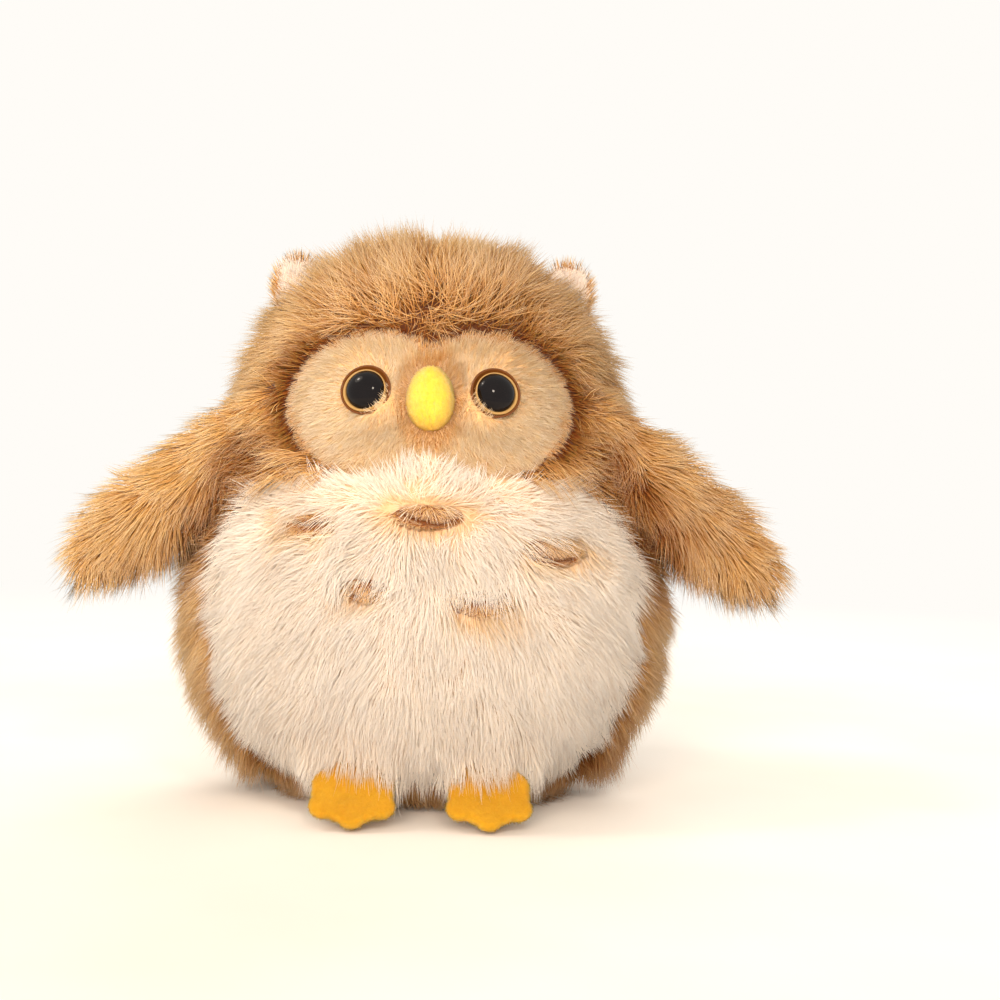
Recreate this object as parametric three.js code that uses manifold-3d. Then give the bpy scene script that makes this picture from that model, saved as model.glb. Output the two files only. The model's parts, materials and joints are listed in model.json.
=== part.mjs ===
// A plush owl that sits on its flat base: an egg of long-pile fabric round a fibre filling, with a
// short-plush face, a pale belly, two wings, two ears, two felt feet, a padded beak and safety eyes.
// Millimetres, +Z up. The face looks along -Y, and left is the owl's own left, towards +X.
import * as THREE from "three";
import { mergeVertices } from "three/addons/utils/BufferGeometryUtils.js";
import Module from "manifold-3d";

const wasm = await Module();
wasm.setup();

// Body
// The outline lies where the pile closes; its loosest tips stand a little out of it.
const HEIGHT = 137;
const BODY_WIDTH = 120.8;
const BODY_DEPTH = 108.8;
const PANEL = 7; // long-pile fabric, backing and pile together
const BASE_SEAM = 10.5; // height of the seam round the top of the base panel
const FACE_RECESS = 3.5; // how far the face lies below the pile round it
const BODY_SEGMENTS = 34;
const BODY_RINGS = 19;
// Half the outline, from the edge of the flat base to the crown, in half widths and in heights
const OUTLINE_shares = [
  [0.5, 0],
  [0.65, 0.036],
  [0.76, 0.075],
  [0.91, 0.167],
  [0.98, 0.254],
  [1, 0.348],
  [0.99, 0.435],
  [0.94, 0.543],
  [0.85, 0.652],
  [0.765, 0.746],
  [0.685, 0.833],
  [0.565, 0.906],
  [0.39, 0.964],
  [0.19, 0.993],
  [0, 1],
];
const NECK_HEIGHT_share = 0.715; // where the hood's lower seam crosses the sides
const NECK_TILT = THREE.MathUtils.degToRad(20); // the seam comes down towards the face

// Clearances
const GAP = 0.3; // between pieces that touch
const SWING_GAP = 0.5; // between the body and a piece that swings on it
const OVERRUN = 6; // how far a cutter runs past what it cuts
const SWING_STEPS = 8; // places in a swing where a piece is cleared of the body

// Face, beak and eyes
const FACE_WIDTH = 65;
const FACE_HEIGHT = 33;
const FACE_LOBE_share = 0.62; // one lobe's width in the width of the face
const FACE_CENTRE_share = 0.701;
const BEAK_WIDTH = 10.8;
const BEAK_HEIGHT = 14.8;
const BEAK_LENGTH = 9;
const BEAK_FABRIC = 1.4;
const BEAK_CENTRE_share = 0.713;
const BEAK_SINK_share = 0.25; // of its length, behind the face's surface
const EYE_SPACING = 29;
const EYE_CENTRE_share = 0.722;
const EYE_DIAMETER = 12;
const EYE_LIP = 1; // width of the rim round the pupil
const EYE_BASE = 1; // thickness of the rim's floor
const EYE_LIP_HEIGHT = 2.2;
const PUPIL_HEIGHT = 3.2;
const SHANK_DIAMETER = 3.2;
const SHANK_PAST_WASHER = 2;
const WASHER_DIAMETER = 11;
const WASHER_THICKNESS = 1.6;
const EYE_SEGMENTS = 18;
const PUPIL_RINGS = 4;

// Belly and its five spots, seen from the front
const BELLY_MARGIN = 12; // from the belly's edge to the body's, on each side
const BELLY_WIDTH = BODY_WIDTH - 2 * BELLY_MARGIN;
const BELLY_TOP_share = 0.6245; // height of the tuft between the face's lobes
// Half the belly's outline, from the tuft round to the base seam, in half widths and in heights
const BELLY_shares = [
  [0, 1],
  [0.17, 0.955],
  [0.4, 0.94],
  [0.65, 0.925],
  [0.84, 0.87],
  [0.95, 0.79],
  [0.995, 0.68],
  [1, 0.54],
  [0.96, 0.38],
  [0.85, 0.23],
  [0.68, 0.1],
  [0.5, 0],
];
const SPOT_DEPTH = 1.2; // under the pile round it
const SPOT_FABRIC = 2;
const SPOT_SEGMENTS = 14;
// Across from the middle in belly widths, up in body heights, then the width and the height
const SPOTS = [
  { across_share: -0.279, up_share: 0.4956, width: 11, height: 5.5 },
  { across_share: 0, up_share: 0.5188, width: 15, height: 5 },
  { across_share: 0.299, up_share: 0.4634, width: 14, height: 6.5 },
  { across_share: -0.141, up_share: 0.3959, width: 10.5, height: 5 },
  { across_share: 0.1345, up_share: 0.3788, width: 14.5, height: 6 },
];

// Wings
const WING_LENGTH = 61; // from the shoulder hinge to the tip
const WING_WIDTH = 23;
const WING_THICKNESS = 15;
const WING_PANEL = 5;
const WING_ROOT = 12; // carried on past the hinge, into the shoulder
const WING_HINGE_share = 0.705; // height of the hinge in body heights
const WING_FORWARD = 20; // of the body's widest section
const WING_SWEEP = THREE.MathUtils.degToRad(10); // of the tip towards the back
const WING_HANG = THREE.MathUtils.degToRad(38); // below the horizontal
const WING_BELOW_HINGE_share = 0.3; // of its width, from the hinge to the wing's middle line
const WING_SWING = [-10, 70]; // degrees, down and up
const WING_SEGMENTS = 14;
const WING_RINGS = 10;
// Along the wing, then its width and its thickness
const WING_shares = [
  [0, 0.9, 0.8],
  [0.2, 0.96, 0.95],
  [0.45, 1, 1],
  [0.7, 1, 0.92],
  [0.88, 0.84, 0.7],
  [0.97, 0.5, 0.42],
  [1, 0, 0],
];

// Ears
const EAR_LENGTH = 11;
const EAR_WIDTH = 16;
const EAR_THICKNESS = 6.5;
const EAR_ROOT = 5;
const EAR_BASE_share = 0.9; // height of its sewn edge in body heights
const EAR_SINK = 1; // of the sewn edge into the pile
const EAR_FORWARD = 4;
const EAR_LEAN = THREE.MathUtils.degToRad(90); // from the horizontal
const EAR_SWING = [-30, 30];
const EAR_SEGMENTS = 14;
const EAR_RINGS = 7;
const EAR_shares = [
  [0, 1, 0.9],
  [0.35, 1, 1],
  [0.7, 0.9, 0.9],
  [0.92, 0.55, 0.6],
  [1, 0, 0],
];

// Feet
const FOOT_LENGTH = 17; // from the sewn edge to the middle toe
const FOOT_WIDTH = 19.5;
const FOOT_NECK_WIDTH = 17.4;
const FOOT_FELT = 2.4;
const FOOT_ROOT = 4;
const FOOT_SPACING = 31;
const FOOT_SLOPE = THREE.MathUtils.degToRad(40); // below the horizontal
const SIDE_TOE_BACK = 2.8; // how far the outer toes end behind the middle one
const FOOT_SWING = [-25, 50];
const FOOT_FLOOR_GAP = 0.4; // under the toes
const TOE_SEGMENTS = 14;

const FINISHES = {
  brown_pile: { color: 0xa98766, roughness: 1 },
  cream_pile: { color: 0xeee4d8, roughness: 1 },
  face_plush: { color: 0xd9b78f, roughness: 0.95 },
  spot_plush: { color: 0xc09a72, roughness: 0.95 },
  ear_plush: { color: 0xe3c6ad, roughness: 0.95 },
  yellow_plush: { color: 0xf5cf3a, roughness: 0.85 },
  yellow_felt: { color: 0xf3bd20, roughness: 0.9 },
  fibre_fill: { color: 0xf4f2ee, roughness: 1 },
  amber_plastic: { color: 0x8a5a1e, roughness: 0.25 },
  black_plastic: { color: 0x0b0a0a, roughness: 0.08 },
  washer_plastic: { color: 0xe8e6e0, roughness: 0.5 },
};
const materials = Object.fromEntries(
  Object.entries(FINISHES).map(([name, finish]) => [
    name,
    new THREE.MeshStandardMaterial({ name, metalness: 0, ...finish }),
  ]),
);

// Six times the volume that the triangles hold, negative where they face inwards.
function signedVolume(position, index) {
  const [a, b, c] = [new THREE.Vector3(), new THREE.Vector3(), new THREE.Vector3()];
  let sum = 0;
  for (let i = 0; i < index.length; i += 3) {
    a.fromBufferAttribute(position, index[i]);
    b.fromBufferAttribute(position, index[i + 1]);
    c.fromBufferAttribute(position, index[i + 2]);
    sum += a.dot(b.cross(c));
  }
  return sum;
}

// A closed geometry as a solid that joins and cuts can work on.
function solidFrom(geometry) {
  const bare = geometry.clone();
  bare.deleteAttribute("normal");
  bare.deleteAttribute("uv");
  const merged = mergeVertices(bare);
  const { position } = merged.attributes;
  const faces = [];
  for (let i = 0; i < merged.index.count; i += 3) {
    const [a, b, c] = [0, 1, 2].map((k) => merged.index.getX(i + k));
    if (a !== b && b !== c && c !== a) faces.push([a, b, c]);
  }
  const turned = signedVolume(position, faces.flat()) < 0;
  const triVerts = new Uint32Array(faces.map((f) => (turned ? f.reverse() : f)).flat());
  return new wasm.Manifold(
    new wasm.Mesh({ numProp: 3, vertProperties: position.array, triVerts }),
  );
}

// A finished solid as a named mesh of one finish.
function meshOf(name, solid, finish) {
  const { vertProperties, triVerts } = solid.getMesh();
  const geometry = new THREE.BufferGeometry();
  geometry.setAttribute("position", new THREE.BufferAttribute(vertProperties, 3));
  geometry.setIndex(new THREE.BufferAttribute(triVerts, 1));
  geometry.computeVertexNormals();
  const mesh = new THREE.Mesh(geometry, materials[finish].clone());
  mesh.name = name;
  return mesh;
}

// The body's outline

const HALF_WIDTH = BODY_WIDTH / 2;
const DEPTH_SHARE = BODY_DEPTH / BODY_WIDTH;
const outline = new THREE.SplineCurve(
  OUTLINE_shares.map(([r, z]) => new THREE.Vector2(r * HALF_WIDTH, z * HEIGHT)),
);

// The profile that is turned into the body, moved inwards by inset, from the base to the crown.
function bodyProfile(inset) {
  const moved = [];
  for (let i = 0; i <= BODY_RINGS; i++) {
    const point = outline.getPointAt(i / BODY_RINGS);
    const along = outline.getTangentAt(i / BODY_RINGS);
    moved.push(new THREE.Vector2(point.x - along.y * inset, point.y + along.x * inset));
  }
  const above = moved.filter((p) => p.y > inset + GAP && p.x > GAP);
  const first = above[0];
  const before = moved[moved.indexOf(first) - 1] ?? first;
  const rise = first.y - before.y || 1;
  const baseRadius = first.x + ((before.x - first.x) * (first.y - inset)) / rise;
  return [
    new THREE.Vector2(0, inset),
    new THREE.Vector2(Math.min(baseRadius, first.x), inset),
    ...above,
    new THREE.Vector2(0, HEIGHT - inset),
  ];
}

function bodyGeometry(inset) {
  const geometry = new THREE.LatheGeometry(bodyProfile(inset), BODY_SEGMENTS);
  geometry.rotateX(Math.PI / 2);
  geometry.scale(1, DEPTH_SHARE, 1);
  return geometry;
}

const body = (inset) => solidFrom(bodyGeometry(inset));

// The radius of the body across, at a height, moved inwards by inset.
function radiusAt(z, inset) {
  const profile = bodyProfile(inset).slice(1);
  const top = profile.findIndex((p) => p.y >= z);
  if (top < 1) return profile[0].x;
  const [low, high] = [profile[top - 1], profile[top]];
  return low.x + ((high.x - low.x) * (z - low.y)) / (high.y - low.y);
}

// A point of the front of the body, moved inwards by inset, and the way out of it.
function frontAt(x, z, inset) {
  const r = radiusAt(z, inset);
  const slope = (radiusAt(z + GAP, inset) - radiusAt(z - GAP, inset)) / (2 * GAP);
  const y = -DEPTH_SHARE * Math.sqrt(r * r - x * x);
  return {
    point: new THREE.Vector3(x, y, z),
    out: new THREE.Vector3(x, y / DEPTH_SHARE ** 2, -r * slope).normalize(),
  };
}

// A point of the side of the body at a height, a distance forward of its widest section.
function sideAt(side, forward, z, inset = 0) {
  const r = radiusAt(z, inset);
  return new THREE.Vector3(side * Math.sqrt(r * r - (forward / DEPTH_SHARE) ** 2), -forward, z);
}

// Cutters

const REACH = HEIGHT + BODY_WIDTH; // past the whole body, from anywhere in it

// Everything above a plane that crosses the body's axis at a height and leans towards the face.
function above(height, tilt = 0) {
  const half = new THREE.BoxGeometry(2 * REACH, 2 * REACH, REACH);
  half.translate(0, 0, REACH / 2);
  half.rotateX(tilt);
  half.translate(0, 0, height);
  return solidFrom(half);
}

// Everything in front of the middle that lies inside an outline seen from the front.
function forwardOf(points) {
  const prism = new THREE.ExtrudeGeometry(new THREE.Shape(points), {
    depth: BODY_DEPTH / 2 + OVERRUN,
    bevelEnabled: false,
  });
  prism.rotateX(Math.PI / 2);
  return solidFrom(prism);
}

function ellipse(x, z, width, height, segments) {
  return new THREE.EllipseCurve(x, z, width / 2, height / 2).getPoints(segments).slice(1);
}

// The two lobes of the face, made wider all round by grown.
function faceCutter(grown) {
  const lobe = FACE_WIDTH * FACE_LOBE_share;
  const offset = (FACE_WIDTH - lobe) / 2;
  const z = HEIGHT * FACE_CENTRE_share;
  const lobes = [-1, 1].map((side) =>
    forwardOf(
      ellipse(side * offset, z, lobe + 2 * grown, FACE_HEIGHT + 2 * grown, BODY_SEGMENTS),
    ),
  );
  return lobes[0].add(lobes[1]);
}

// The belly, made wider all round by grown.
function bellyCutter(grown) {
  const top = HEIGHT * BELLY_TOP_share;
  const half = new THREE.SplineCurve(
    BELLY_shares.map(([x, z]) => new THREE.Vector2((x * BELLY_WIDTH) / 2, z * top)),
  ).getPoints(BODY_RINGS);
  const left = half.slice(1).map((p) => new THREE.Vector2(-p.x, p.y));
  const loop = [...left.reverse(), ...half];
  const points = loop.map((p, i) => {
    const next = loop[Math.min(i + 1, loop.length - 1)];
    const last = loop[Math.max(i - 1, 0)];
    const along = next.clone().sub(last).normalize();
    return new THREE.Vector2(p.x - along.y * grown, p.y + along.x * grown);
  });
  const end = points.at(-1);
  return forwardOf([
    ...points,
    new THREE.Vector2(end.x, -OVERRUN),
    new THREE.Vector2(-end.x, -OVERRUN),
  ]);
}

// A lathe about an axis that starts at a point of the face and leads out of it.
function turnedOn(place, profile, segments = EYE_SEGMENTS) {
  const points = profile.map(([r, h]) => new THREE.Vector2(r, h));
  const geometry = new THREE.LatheGeometry(points, segments);
  const up = new THREE.Vector3(0, 1, 0);
  geometry.applyQuaternion(new THREE.Quaternion().setFromUnitVectors(up, place.out));
  geometry.translate(...place.point);
  return solidFrom(geometry);
}

// Filling and fabric panels

const neck = HEIGHT * NECK_HEIGHT_share;
const core = body(PANEL + GAP);
const shell = body(0).subtract(body(PANEL));
const coreUnderFace = PANEL - FACE_RECESS + GAP; // from the face's surface down to the filling
const aboveBase = above(BASE_SEAM + GAP);
const hoodSpace = above(neck + GAP / 2, NECK_TILT);
const head = above(neck - GAP / 2, NECK_TILT);
const widerBelly = bellyCutter(GAP);
const widerFace = faceCutter(GAP);

// The eyes: a rim with a shank, a domed pupil and the washer that locks the shank inside

const SIDES = { left: 1, right: -1 };
const eyePlaces = Object.fromEntries(
  Object.entries(SIDES).map(([name, side]) => [
    name,
    frontAt((side * EYE_SPACING) / 2, HEIGHT * EYE_CENTRE_share, FACE_RECESS),
  ]),
);

// How far the face falls away behind a flat disc that touches it at a place.
function fallsAway(place, radius) {
  let furthest = 0;
  for (let k = 0; k < EYE_SEGMENTS; k++) {
    const turn = (2 * Math.PI * k) / EYE_SEGMENTS;
    const x = place.point.x + radius * Math.cos(turn);
    const z = place.point.z + radius * Math.sin(turn);
    const behind = frontAt(x, z, FACE_RECESS).point.sub(place.point).dot(place.out);
    furthest = Math.max(furthest, -behind);
  }
  return furthest;
}

const eyeProfiles = (() => {
  const outer = EYE_DIAMETER / 2;
  const cup = outer - EYE_LIP;
  const shank = SHANK_DIAMETER / 2;
  const washerFront = -coreUnderFace - fallsAway(eyePlaces.left, WASHER_DIAMETER / 2);
  const shankEnd = washerFront - WASHER_THICKNESS - SHANK_PAST_WASHER;
  const pupil = cup - GAP;
  const pupilBack = GAP + EYE_BASE + GAP;
  const dome = [];
  for (let i = 1; i <= PUPIL_RINGS; i++) {
    const turn = (i / PUPIL_RINGS) * (Math.PI / 2);
    dome.push([pupil * Math.cos(turn), pupilBack + PUPIL_HEIGHT * Math.sin(turn)]);
  }
  dome.at(-1)[0] = 0;
  return {
    rim: [
      [0, shankEnd],
      [shank, shankEnd],
      [shank, GAP],
      [outer, GAP],
      [outer, EYE_LIP_HEIGHT],
      [outer - EYE_LIP / 2, EYE_LIP_HEIGHT + EYE_LIP / 2],
      [cup, EYE_LIP_HEIGHT],
      [cup, GAP + EYE_BASE],
      [0, GAP + EYE_BASE],
    ],
    pupil: [[0, pupilBack], [pupil, pupilBack], ...dome],
    washer: [
      [shank + GAP, washerFront - WASHER_THICKNESS],
      [WASHER_DIAMETER / 2, washerFront - WASHER_THICKNESS],
      [WASHER_DIAMETER / 2, washerFront],
      [shank + GAP, washerFront],
      [shank + GAP, washerFront - WASHER_THICKNESS],
    ],
    hole: [
      [0, shankEnd - GAP],
      [shank + GAP, shankEnd - GAP],
      [shank + GAP, EYE_LIP_HEIGHT],
      [0, EYE_LIP_HEIGHT],
    ],
    pocket: [
      [0, shankEnd - GAP],
      [WASHER_DIAMETER / 2 + GAP, shankEnd - GAP],
      [WASHER_DIAMETER / 2 + GAP, 0],
      [0, 0],
    ],
  };
})();

function eyes() {
  const group = new THREE.Group();
  for (const [side, place] of Object.entries(eyePlaces)) {
    const piece = (part, finish) =>
      meshOf(`eye_${side}_${part}`, turnedOn(place, eyeProfiles[part]), finish);
    group.add(
      piece("rim", "amber_plastic"),
      piece("pupil", "black_plastic"),
      piece("washer", "washer_plastic"),
    );
  }
  return group;
}

function face() {
  let panel = body(FACE_RECESS)
    .subtract(body(PANEL))
    .intersect(faceCutter(0))
    .subtract(widerBelly);
  for (const place of Object.values(eyePlaces))
    panel = panel.subtract(turnedOn(place, eyeProfiles.hole));
  return meshOf("face_panel", panel, "face_plush");
}

function filling() {
  let crown = core.intersect(hoodSpace);
  for (const place of Object.values(eyePlaces))
    crown = crown.subtract(turnedOn(place, eyeProfiles.pocket));
  const group = new THREE.Group();
  group.add(
    meshOf("body_stuffing", core.subtract(head), "fibre_fill"),
    meshOf("head_stuffing", crown, "fibre_fill"),
  );
  return group;
}

// The long-pile panels: the hood, the two halves of the back and the base
function pilePanels() {
  const group = new THREE.Group();
  const hood = shell.intersect(hoodSpace).subtract(widerFace).subtract(widerBelly);
  group.add(meshOf("hood_panel", hood, "brown_pile"));
  const trunk = shell.intersect(aboveBase).subtract(head);
  const back = trunk.subtract(widerBelly).subtract(widerFace);
  for (const [name, side] of Object.entries(SIDES)) {
    const half = new THREE.BoxGeometry(REACH, 2 * REACH, 2 * REACH);
    half.translate(side * (REACH / 2 + GAP / 2), 0, 0);
    group.add(meshOf(`back_panel_${name}`, back.intersect(solidFrom(half)), "brown_pile"));
  }
  const base = shell.subtract(above(BASE_SEAM));
  group.add(meshOf("base_panel", base, "brown_pile"));
  return group;
}

// The pale belly, with the five short-plush spots lying in its pile
function belly() {
  const group = new THREE.Group();
  const spotBack = SPOT_DEPTH + SPOT_FABRIC;
  const spotLayer = body(SPOT_DEPTH).subtract(body(spotBack));
  const pocketLayer = body(-GAP).subtract(body(spotBack + GAP));
  let panel = shell.intersect(aboveBase).intersect(bellyCutter(0));
  SPOTS.forEach((spot, i) => {
    const x = spot.across_share * BELLY_WIDTH;
    const z = spot.up_share * HEIGHT;
    const cutter = (grown) =>
      forwardOf(ellipse(x, z, spot.width + grown, spot.height + grown, SPOT_SEGMENTS));
    group.add(meshOf(`belly_spot_${i + 1}`, spotLayer.intersect(cutter(0)), "spot_plush"));
    panel = panel.subtract(pocketLayer.intersect(cutter(2 * GAP)));
  });
  group.add(meshOf("belly_panel", panel, "cream_pile"));
  return group;
}

// The beak: a padded egg that stands on the face between the eyes
function beak() {
  const place = frontAt(0, HEIGHT * BEAK_CENTRE_share, FACE_RECESS);
  const reach = BEAK_LENGTH * (1 - BEAK_SINK_share);
  const egg = (inset) => {
    const ball = new THREE.SphereGeometry(1, EYE_SEGMENTS, EYE_SEGMENTS / 2);
    ball.rotateX(Math.PI / 2);
    ball.scale(BEAK_WIDTH / 2 - inset, reach - inset, BEAK_HEIGHT / 2 - inset);
    ball.translate(place.point.x, place.point.y - BEAK_LENGTH + reach, place.point.z);
    return solidFrom(ball);
  };
  const behind = body(FACE_RECESS - GAP);
  const group = new THREE.Group();
  const cover = egg(0).subtract(egg(BEAK_FABRIC)).subtract(behind);
  const inside = egg(BEAK_FABRIC + GAP).subtract(behind);
  group.add(
    meshOf("beak_cover", cover, "yellow_plush"),
    meshOf("beak_stuffing", inside, "fibre_fill"),
  );
  return group;
}

// Pieces that swing on the body

// A closed tube through rings of points, with its two ends closed flat or at a point.
function loft(rings) {
  const count = rings[0].length;
  const middle = (ring) =>
    ring.reduce((sum, p) => sum.add(p), new THREE.Vector3()).divideScalar(count);
  const points = [...rings.flat(), middle(rings[0]), middle(rings.at(-1))];
  const faces = [];
  const last = (rings.length - 1) * count;
  for (let k = 0; k < count; k++) {
    const next = (k + 1) % count;
    for (let i = 0; i < last; i += count)
      faces.push(i + k, i + next, i + count + k, i + next, i + count + next, i + count + k);
    faces.push(next, k, last + count, last + k, last + next, last + count + 1);
  }
  const geometry = new THREE.BufferGeometry();
  geometry.setAttribute(
    "position",
    new THREE.Float32BufferAttribute(points.flatMap((p) => p.toArray()), 3),
  );
  geometry.setIndex(faces);
  return geometry;
}

// A flap that starts root behind the origin and runs along +X on its side, flat in XZ. It ends at a
// point, where its width or its thickness has run out.
function flap(side, size, shares, inset, drop = 0) {
  const table = new THREE.CatmullRomCurve3(
    shares.map(([along, wide, thick]) => new THREE.Vector3(along, wide, thick)),
  );
  const rings = [];
  for (let i = 0; i <= size.rings; i++) {
    const at = table.getPoint(i / size.rings);
    const wide = (at.y * size.width) / 2 - inset;
    const thick = (at.z * size.thickness) / 2 - inset;
    const open = i < size.rings && wide > 0 && thick > 0 ? 1 : 0;
    const x = side * (at.x * (size.root + size.length) - size.root);
    const ring = [];
    for (let k = 0; k < size.segments; k++) {
      const turn = (2 * Math.PI * (k + 1 / 2)) / size.segments;
      const z = open * wide * Math.sin(turn) - drop;
      ring.push(new THREE.Vector3(x, open * thick * Math.cos(turn), z));
    }
    rings.push(ring);
    if (!open) break;
  }
  return solidFrom(loft(rings));
}

// The body, grown by the swing gap, as it is met at steps of a swing by a piece with a given place.
function sweptBody(place, axis, degrees) {
  const grown = bodyGeometry(-SWING_GAP);
  let swept;
  for (let i = 0; i <= SWING_STEPS; i++) {
    const angle = THREE.MathUtils.degToRad(
      THREE.MathUtils.lerp(degrees[0], degrees[1], i / SWING_STEPS),
    );
    const turn = new THREE.Quaternion().setFromAxisAngle(axis, angle).multiply(place.turn);
    const back = new THREE.Matrix4().compose(place.point, turn, new THREE.Vector3(1, 1, 1)).invert();
    const met = solidFrom(grown.clone().applyMatrix4(back));
    swept = swept ? swept.add(met) : met;
  }
  return swept;
}

function placed(group, place, hinges, name, axis, degrees) {
  group.position.copy(place.point);
  group.quaternion.copy(place.turn);
  hinges[name] = { point: place.point.toArray(), axis: axis.toArray(), degrees };
  return group;
}

// One half of a flap's thickness, the front or the back, with the seam's gap between them.
function layer(solid, front) {
  const half = new THREE.BoxGeometry(2 * REACH, REACH, 2 * REACH);
  half.translate(0, (front ? -1 : 1) * (REACH / 2 + GAP / 2), 0);
  return solid.intersect(solidFrom(half));
}

// A wing: a front panel, a back panel and a thin filling, hung from the shoulder
function wing(name, side, hinges) {
  const size = {
    length: WING_LENGTH,
    root: WING_ROOT,
    width: WING_WIDTH,
    thickness: WING_THICKNESS,
    rings: WING_RINGS,
    segments: WING_SEGMENTS,
  };
  const sweep = new THREE.Quaternion().setFromAxisAngle(
    new THREE.Vector3(0, 0, 1),
    side * WING_SWEEP,
  );
  const hang = new THREE.Quaternion().setFromAxisAngle(new THREE.Vector3(0, 1, 0), side * WING_HANG);
  const place = {
    point: sideAt(side, WING_FORWARD, HEIGHT * WING_HINGE_share),
    turn: sweep.clone().multiply(hang),
  };
  // A positive turn lifts the wing.
  const axis = new THREE.Vector3(0, -side, 0).applyQuaternion(sweep);
  const met = sweptBody(place, axis, WING_SWING);
  const drop = WING_WIDTH * WING_BELOW_HINGE_share;
  const shape = (inset) => flap(side, size, WING_shares, inset, drop);
  const skin = shape(0).subtract(shape(WING_PANEL)).subtract(met);
  const inside = shape(WING_PANEL + GAP).subtract(met);
  const group = new THREE.Group();
  group.add(
    meshOf(`wing_${name}_front`, layer(skin, true), "brown_pile"),
    meshOf(`wing_${name}_back`, layer(skin, false), "brown_pile"),
    meshOf(`wing_${name}_stuffing`, inside, "fibre_fill"),
  );
  return placed(group, place, hinges, `wing_${name}`, axis, WING_SWING);
}

// An ear: an outer layer of pile behind and an inner layer of short plush in front
function ear(name, side, hinges) {
  const size = {
    length: EAR_LENGTH,
    root: EAR_ROOT,
    width: EAR_WIDTH,
    thickness: EAR_THICKNESS,
    rings: EAR_RINGS,
    segments: EAR_SEGMENTS,
  };
  const place = {
    point: sideAt(side, EAR_FORWARD, HEIGHT * EAR_BASE_share, EAR_SINK),
    turn: new THREE.Quaternion().setFromAxisAngle(new THREE.Vector3(0, 1, 0), -side * EAR_LEAN),
  };
  const axis = new THREE.Vector3(0, 0, side).applyQuaternion(place.turn).negate();
  const met = sweptBody(place, axis, EAR_SWING);
  const whole = flap(side, size, EAR_shares, 0).subtract(met);
  const group = new THREE.Group();
  group.add(
    meshOf(`ear_${name}_inner`, layer(whole, true), "ear_plush"),
    meshOf(`ear_${name}_outer`, layer(whole, false), "brown_pile"),
  );
  return placed(group, place, hinges, `ear_${name}`, axis, EAR_SWING);
}

// A foot: one piece of felt with three round toes, sewn on under the front of the belly
function foot(name, side, hinges) {
  const toe = FOOT_WIDTH / 6;
  const toeCentres = [
    [0, FOOT_LENGTH - toe],
    [-2 * toe, FOOT_LENGTH - toe - SIDE_TOE_BACK],
    [2 * toe, FOOT_LENGTH - toe - SIDE_TOE_BACK],
  ];
  const outer = FOOT_WIDTH / 2;
  const ball = FOOT_LENGTH - toe - SIDE_TOE_BACK;
  const sole = new THREE.Shape([
    new THREE.Vector2(-FOOT_NECK_WIDTH / 2, -FOOT_ROOT),
    new THREE.Vector2(FOOT_NECK_WIDTH / 2, -FOOT_ROOT),
    new THREE.Vector2(outer - toe / 6, ball / 2),
    new THREE.Vector2(outer, ball),
    new THREE.Vector2(-outer, ball),
    new THREE.Vector2(-outer + toe / 6, ball / 2),
  ]);
  const plate = new THREE.ExtrudeGeometry(sole, { depth: FOOT_FELT, bevelEnabled: false });
  plate.translate(0, 0, -FOOT_FELT / 2);
  let felt = solidFrom(plate);
  for (const [x, y] of toeCentres) {
    const disc = new THREE.CylinderGeometry(toe, toe, FOOT_FELT, TOE_SEGMENTS);
    disc.rotateX(Math.PI / 2);
    disc.translate(x, y, 0);
    felt = felt.add(solidFrom(disc));
  }
  // The sole runs along +Y, and is turned to lead forwards and down.
  const slope = new THREE.Quaternion().setFromAxisAngle(new THREE.Vector3(1, 0, 0), -FOOT_SLOPE);
  const about = new THREE.Quaternion().setFromAxisAngle(new THREE.Vector3(0, 0, 1), Math.PI);
  const x = (side * FOOT_SPACING) / 2;
  const drop = FOOT_LENGTH * Math.sin(FOOT_SLOPE) + (FOOT_FELT / 2) * Math.cos(FOOT_SLOPE);
  const place = {
    point: frontAt(x, drop + FOOT_FLOOR_GAP, 0).point,
    turn: about.multiply(slope),
  };
  const axis = new THREE.Vector3(-1, 0, 0); // a positive turn lifts the toes
  felt = felt.subtract(sweptBody(place, axis, FOOT_SWING));
  const group = new THREE.Group();
  group.add(meshOf(`foot_${name}`, felt, "yellow_felt"));
  return placed(group, place, hinges, `foot_${name}`, axis, FOOT_SWING);
}

const owl = new THREE.Group();
owl.name = "plush_owl";
const hinges = {}; // where each swinging piece turns, in the owl's frame
owl.userData.hinges = hinges;
owl.add(filling(), pilePanels(), belly(), face(), beak(), eyes());
for (const [name, side] of Object.entries(SIDES))
  owl.add(wing(name, side, hinges), ear(name, side, hinges), foot(name, side, hinges));

export default owl;
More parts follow.
